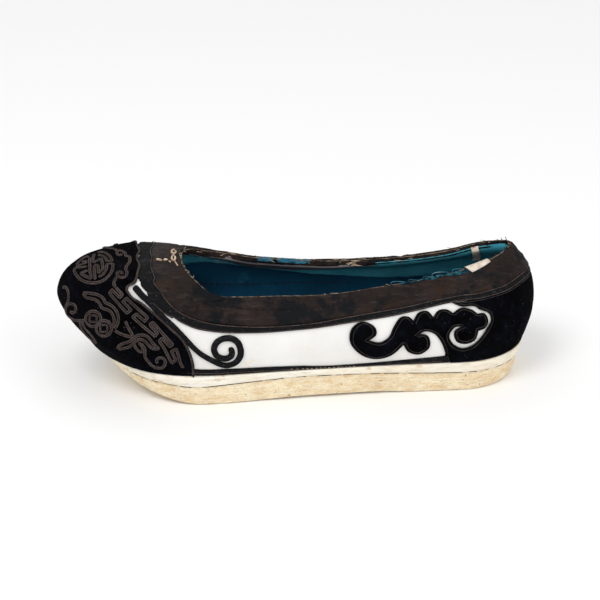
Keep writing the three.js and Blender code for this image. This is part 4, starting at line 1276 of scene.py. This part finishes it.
def inset_paths(outline, distance, step):
    """Lines that keep a distance inside a closed outline of u and v, broken where they would cross."""
    ring = even_ring(outline, step)
    ahead = unit(np.roll(ring, -1, axis=0) - np.roll(ring, 1, axis=0))
    area = np.sum(ring[:, 0] * np.roll(ring[:, 1], -1) - np.roll(ring[:, 0], -1) * ring[:, 1])
    inner = ring + np.stack([-ahead[:, 1], ahead[:, 0]], -1) * distance * np.sign(area)
    good = distance_to(inner, ring) > distance * 0.93
    paths, run = [], []
    for place, keep in zip(inner, good):
        if keep and (not run or np.linalg.norm(place - run[-1]) < 4 * step):
            run.append(place)
            continue
        if len(run) > 6:
            paths.append(np.array(run) / PARAMETER_SCALE)
        run = [place] if keep else []
    if len(run) > 6:
        paths.append(np.array(run) / PARAMETER_SCALE)
    return paths


def make_cloud_piping():
    """A black cord on the velvet's edge and a thin grey line inside it."""
    edge = respace(cloud_line * PARAMETER_SCALE, 0.4) / PARAMETER_SCALE
    cord = sewn(edge, *CLOUD_CORD, ROUND_CORD, -0.4, twist=0.12, twist_pitch=0.9)
    paths = inset_paths(counter_ring, distance=1.0, step=0.4)
    lines = [sewn(path, *CLOUD_LINE, ROUND_CORD, -0.04, twist=0.2, twist_pitch=0.8) for path in paths]
    add_pairs(("cloud_cord", cord, DARK_THREAD, "black_velvet"),
              ("cloud_line", join_parts(lines), GREY_THREAD, "brown_satin"))


def make_band_cords():
    """Cords where band and ribbon meet, and along the ribbon's foot."""
    u = np.linspace(1, 3, 1200)
    path = np.stack([u, band_at(u)], -1)
    head = sewn(path, *BAND_CORD, ROUND_CORD, -0.2, twist=0.25, twist_pitch=0.9, taper=False)
    u = np.linspace(*FOOT_CORD_SPAN, 1100)
    path = np.stack([u, ribbon_foot(u) + 0.012], -1)
    foot = sewn(path, *BAND_CORD, ROUND_CORD, -0.3, twist=0.25, twist_pitch=0.9)
    add_piece("band_cords", join_parts([head, foot]), BROWN_BRAID, "brown_satin")


def dashes(span, pitch, share, seed, line):
    """A running stitch between two places along a line: a path of u and v for each length."""
    chance = np.random.default_rng(seed)
    u, paths = span[0], []
    while u < span[1]:
        at = np.linspace(u, u + pitch * share * chance.uniform(0.7, 1.25), 5)
        paths.append(np.stack([at, line(at)], -1))
        u += pitch * chance.uniform(0.85, 1.2)
    return paths


def base_middle(share):
    """A line at a share of the base strip's height."""
    return lambda u: ease_through(BASE_LINE, 1, u) * share


def make_stitches():
    """Running stitches on the band and along the base strip, and the knots on the seam."""
    band = dashes(BAND_STITCH_SPAN, 0.0105, 0.72, 3, lambda u: band_at(u) + (1 - band_at(u)) * BAND_SEAM)
    parts = [sewn(path, *BAND_STITCH, ROUND_CORD) for path in band]
    parts += [mirrored(part) for part in parts]
    add_piece("band_stitches", join_parts(parts), DARK_THREAD, "brown_satin")
    u = np.linspace(*base_ends(0), 400)
    path = np.stack([u, base_middle(0.5)(u)], -1)
    middle = sewn(path, *BASE_CORD, ROUND_CORD, -0.25, twist=0.3, twist_pitch=0.9)
    white = dashes(BASE_STITCH_SPAN, 0.0062, 0.4, 8, base_middle(0.62))
    pale = [sewn(path, *BASE_STITCH, ROUND_CORD, -0.1) for path in white]
    add_pairs(("base_line", middle, BROWN_BRAID, "black_ribbon"),
              ("base_stitches", join_parts(pale), BEIGE_THREAD, "white_cotton"))
    seams = [sewn(path, *SEAM_STITCH, ROUND_CORD) for path in on_surface(SEAM_STITCHES, 0.3)]
    rings = [ring_path(knot[:2], knot[2], knot[3], 330.0, 60.0) for knot in SEAM_KNOTS]
    seams += [sewn(path, *SEAM_KNOT, ROUND_CORD, 0.1) for path in on_surface(rings, 0.3)]
    add_piece("seam_stitches", join_parts(seams), BEIGE_THREAD, "white_cotton")


def make_sole_thread():
    """Dark thread in the line between the two layers of the sole, broken here and there."""
    chance = np.random.default_rng(12)
    parts = []
    u = 0.0
    while u < 2:
        long = chance.uniform(0.004, 0.03) if abs(math.sin(3 * math.pi * u)) > 0.35 else 0.10
        at = np.linspace(u, u + long, max(4, int(long / 0.002)))
        place = sole_ring(at, layer_share, SOLE_LEDGE * 0.45, 0.0)
        place[:, 2] += 0.12 * grain(place, 3.0, 5.0)
        parts.append(tube(place, chance.uniform(0.18, 0.34)))
        u += long + chance.uniform(0.003, 0.022)
    add_piece("sole_thread", join_parts(parts), RUST_THREAD, "bound_sole")


# Inside
def line_noise(u, pitch, size, seed):
    """Noise along the collar only; pitch is what a unit of u counts for."""
    return grain(np.stack([u * pitch, 0 * u, 0 * u], -1), size, seed)


def over_edge(span, thickness, seed):
    """A thin strip of cloth lying along the rim's top."""
    u, s = grid_of(*span, 60, 12)
    wander = 0.3 * line_noise(u, ROUND_MM, 1.6, seed)
    depth = 0.5 + (LINING_DEPTH * 0.75) * s
    lift = 1.45 - 0.7 * s * s
    top = rim_point(u, depth + wander * (1 + s), lift + wander * s)
    return sheet_between(top, rim_point(u, depth, lift - thickness))


def inside_sheet(span, low, high, thickness, grid, seed, ragged=0.0, skew=0.0):
    """A strip of cloth on the inner side between two lines of v; a whole turn closes on itself."""
    closed = span[1] - span[0] == 2
    u, s = grid_of(*span, *grid, endpoint=not closed)
    ring = u[:, 0]
    foot = low(ring) + ragged * line_noise(ring, 90, 1.0, seed)
    v = foot[:, None] + (high(ring) - foot)[:, None] * s
    u = u + skew * (1 - s)
    places = last_point(u, v)
    folds = 0.35 * grain(places * [0.5, 1, 1.4], 7.0, seed) + 0.12 * grain(places, 2.4, seed + 3)
    swell = np.reshape(thickness, (-1, 1)) + np.maximum(-0.1, folds)
    outer = LINING_DEPTH + 0.05 + swell * rounded(s, 0.15)
    return cloth_grid(u, v, LINING_DEPTH - 0.2, outer, closed)


def level_line(v):
    return lambda u: v + 0 * u


def fold_foot(u):
    """Where the satin folded down inside ends."""
    return 1 - fold_width(u) / collar_mm(u)


def make_facing():
    """Teal facing under the satin's fold, its edge and stitches, and what lies beside it."""

    def at_rim(u):
        return np.clip((fold(u)[0] - 0.64) / 0.06, 0, 1)

    def head(u):
        under = -np.maximum(0.4, fold_width(u) - 0.8)
        return 1 + (under + (0.5 + heel_rise(u) - under) * at_rim(u)) / collar_mm(u)

    columns = 700
    thickness = 0.45 + 1.05 * at_rim(np.linspace(0, 2, columns, endpoint=False))
    # The facing's lightened teal is painted light in the shaded inside of the collar
    facing = inside_sheet((0, 2), line_at(FACING_FOOT), head, thickness, (columns, 16), 3.0, ragged=0.012)
    add_piece("teal_facing", facing, TEAL_FACING_PAINTED_LIGHT, "insole_cotton")
    u = np.linspace(*FACING_EDGE_SPAN, 700)
    edge = skin(u, 1 - (fold_width(u) + 0.15) / collar_mm(u), LINING_DEPTH + 0.75)
    add_piece("facing_edge", tube(edge, 0.25), EDGE_THREAD, "brown_satin")
    stitches = dashes(LINING_STITCH_SPAN, 0.0088, 0.5, 21, lambda u: 0.415 + 0.03 * np.sin(u * 19))
    parts = [tube(skin(path[:, 0], path[:, 1], LINING_DEPTH + 0.25), 0.22) for path in stitches]
    add_piece("lining_stitches", join_parts(both_sides(parts)), RUST_THREAD, "insole_cotton")
    # The folded satin's light grey is painted light over the shade inside the collar
    folded = inside_sheet(FOLD_SPAN, fold_foot, level_line(1.004), 1.3, (110, 12), 11.0)
    add_pairs(("collar_fold", folded, FOLD_SATIN_PAINTED_LIGHT, "brown_satin"))
    for k, span in enumerate(BLUE_PATCHES):
        add_piece(f"blue_patch_{k}", over_edge(span, 0.4, 5.0 + k), BLUE_CLOTH, "insole_cotton")
    # The tape's near-white colour is painted light in the shaded inside
    tape = inside_sheet(TAPE_SPAN, level_line(0.66), level_line(1.02), 2.2, (8, 20), 7.0, skew=0.04)
    add_piece("beige_tape", tape, INNER_TAPE_PAINTED_LIGHT, "white_cotton")


def make_rim():
    """What is left along the collar's rim: a beige edge and frayed threads."""
    u = np.linspace(1, 3, 1400)
    edge = rim_point(u, LINING_DEPTH * 0.42, 1.12 + 0.25 * grain(last_point(u, 1.0), 4.0, 2.0))
    add_piece("rim_thread", tube(edge, 0.27 + 0.12 * grain(edge, 5.0, 9.0)), EDGE_THREAD, "brown_satin")
    chance = np.random.default_rng(5)
    pale, dark = [], []
    s = np.linspace(0, 1, 7)
    for k in range(RIM_THREADS):
        at = chance.uniform(0, 2)
        heel = float(fold(at)[0]) > HEEL_FROM
        if not heel and chance.random() < SPARSER:
            continue
        long = chance.uniform(1.4, 4.2) * (1.7 if heel else 1.0)
        lean = chance.uniform(-1, 1) * long * 0.8 / 150
        lift = 0.3 + long * 0.42 * np.sin(s * chance.uniform(1.4, 2.6))
        depth = chance.uniform(0.2, LINING_DEPTH) + chance.uniform(-1, 1) * s
        line = rim_point(at + lean * s, depth, lift)
        line = line + 0.35 * np.stack([grain(line + 7 * j, 1.6, k) for j in range(3)], -1) * s[:, None]
        group = pale if chance.random() < PALE_SHARE else dark
        group.append(tube(line, np.linspace(0.2, 0.07, len(s)), 5))
    s = np.linspace(0, 1, 6)
    for _ in range(TUFT_THREADS):
        at = TUFT + chance.uniform(-0.006, 0.006) + chance.uniform(-0.02, 0.012) * s
        depth = LINING_DEPTH * chance.uniform(0.4, 1.2) + s
        line = rim_point(at, depth, 1.0 + chance.uniform(0.3, 2.2) * np.sin(2 * s))
        pale.append(tube(line, np.linspace(0.3, 0.1, len(s)), 5))
    add_piece("rim_fray_dark", join_parts(dark), DARK_THREAD, "brown_satin")
    add_piece("rim_fray_pale", join_parts(pale), BEIGE_THREAD, "white_cotton")


def over_rim(s, hang, inside, lift):
    """Depth and lift of cloth laid over the rim: s from 0, hanging outside, to 1 inside."""
    depth = -0.5 + (LINING_DEPTH + 1.1) * np.clip((s - 0.3) / 0.4, 0, 1)
    hanging = -hang * (1 - np.clip(s / 0.4, 0, 1))
    arch = lift * np.sin(np.pi * np.clip((s - 0.15) / 0.7, 0, 1))
    return depth, hanging + arch - inside * np.clip((s - 0.7) / 0.3, 0, 1)


def make_tatters():
    """Torn teal cloth hanging over the near rim, its threads, and the pale tab beside it."""
    u, s = grid_of(*TATTER_SPAN, 200, 22)
    places = rim_point(u, 1, 0)
    torn = ease_through(TATTERS, 1, u) + 0.9 * grain(places, 1.7, 4.0) + 0.5 * grain(places, 0.8, 6.0)
    ends = rounded((u - u[0]) / (u[-1] - u[0]), 0.06)
    rise = 1.3 + 0.9 * grain(places, 4.0, 8.0)
    depth, lift = over_rim(s, np.maximum(0.1, torn) * ends, 1.5, rise * ends)
    along = s[..., None]
    folds = 0.45 * grain(places + 4 * along, 2.0, 2.0) + 0.3 * grain(places + 9 * along, 1.1, 5.0)
    top = rim_point(u, depth - folds * 0.8, lift + folds)
    cloth = sheet_between(top, rim_point(u, depth + 0.25, lift - 0.35))
    add_piece("teal_tatters", cloth, TORN_CLOTH, "insole_cotton")
    loops = []
    angle = np.linspace(0.1, math.pi * 1.35, 18)
    for centre, size in THREAD_LOOPS:
        at = centre + size * np.cos(angle) / ROUND_MM
        line = rim_point(at, 1.2 + 0.6 * np.sin(angle * 2), 1.6 + size * 0.8 * np.sin(angle))
        loops.append(tube(line, 0.26 if size > 1.5 else 0.16))
    add_piece("teal_threads", join_parts(loops), BLUE_CLOTH, "insole_cotton")
    u, s = grid_of(*TAB_SPAN, 24, 18)
    depth, lift = over_rim(s, 3.0 - 60 * (u - TAB_SPAN[0]), 1.0, 2.3)
    wave = 0.15 * grain(rim_point(u, depth, lift), 3.0)
    tab = sheet_between(rim_point(u, depth - 0.6 + wave, lift + wave), rim_point(u, depth - 0.3, lift - 0.3))
    add_piece("pale_tab", tab, PALE_TAPE, "white_cotton")


# Room, light and camera
def make_floor():
    half = 6.0
    corners = [(-half, -half, 0), (half, -half, 0), (half, half, 0), (-half, half, 0)]
    mesh = bpy.data.meshes.new("floor")
    mesh.from_pydata(corners, [], [[0, 1, 2, 3]])
    mesh.materials.append(new_material("floor_white", (0.92, 0.92, 0.92), 0.9, 0.1))
    floor = bpy.data.objects.new("floor", mesh)
    bpy.context.scene.collection.objects.link(floor)


def add_light(name, place, aim, size, power):
    light = bpy.data.lights.new(name, "AREA")
    light.shape = "DISK"
    light.size = size
    light.energy = power
    lamp = bpy.data.objects.new(name, light)
    lamp.location = place
    lamp.rotation_euler = (Vector(aim) - Vector(place)).to_track_quat("-Z", "Y").to_euler()
    bpy.context.scene.collection.objects.link(lamp)


def make_light():
    world = bpy.data.worlds.new("studio")
    world.use_nodes = True
    background = world.node_tree.nodes["Background"]
    background.inputs["Color"].default_value = (1, 1, 1, 1)
    background.inputs["Strength"].default_value = 0.83
    bpy.context.scene.world = world
    bpy.context.scene.view_settings.view_transform = "Standard"
    add_light("key", (-0.5, -0.7, 1.3), (0, 0, 0.03), 0.7, 8)
    add_light("fill", (0.8, -0.9, 0.9), (0, 0, 0.03), 1.0, 3)


def make_camera():
    right, up, forward = camera_axes(RENDER_AIM_PIXEL)
    data = bpy.data.cameras.new("camera")
    data.sensor_width = SENSOR
    data.lens = focal_pixels / PIXELS * SENSOR
    camera = bpy.data.objects.new("camera", data)
    turn = Matrix((right, up, -forward)).transposed().to_4x4()
    camera.matrix_world = Matrix.Translation(Vector(camera_place * MM)) @ turn
    bpy.context.scene.collection.objects.link(camera)
    bpy.context.scene.camera = camera


make_camera()
make_light()
make_floor()
make_outsole()
make_midsole()
make_insole()
make_upper()
make_toe_cap()
make_collar_band()
make_edge_ribbon()
make_back_strip()
make_counters()
make_curl_strips()
make_base_strips()
make_toe_braid()
make_cap_piping()
make_cloud_piping()
make_band_cords()
make_stitches()
make_sole_thread()
make_facing()
make_rim()
make_tatters()
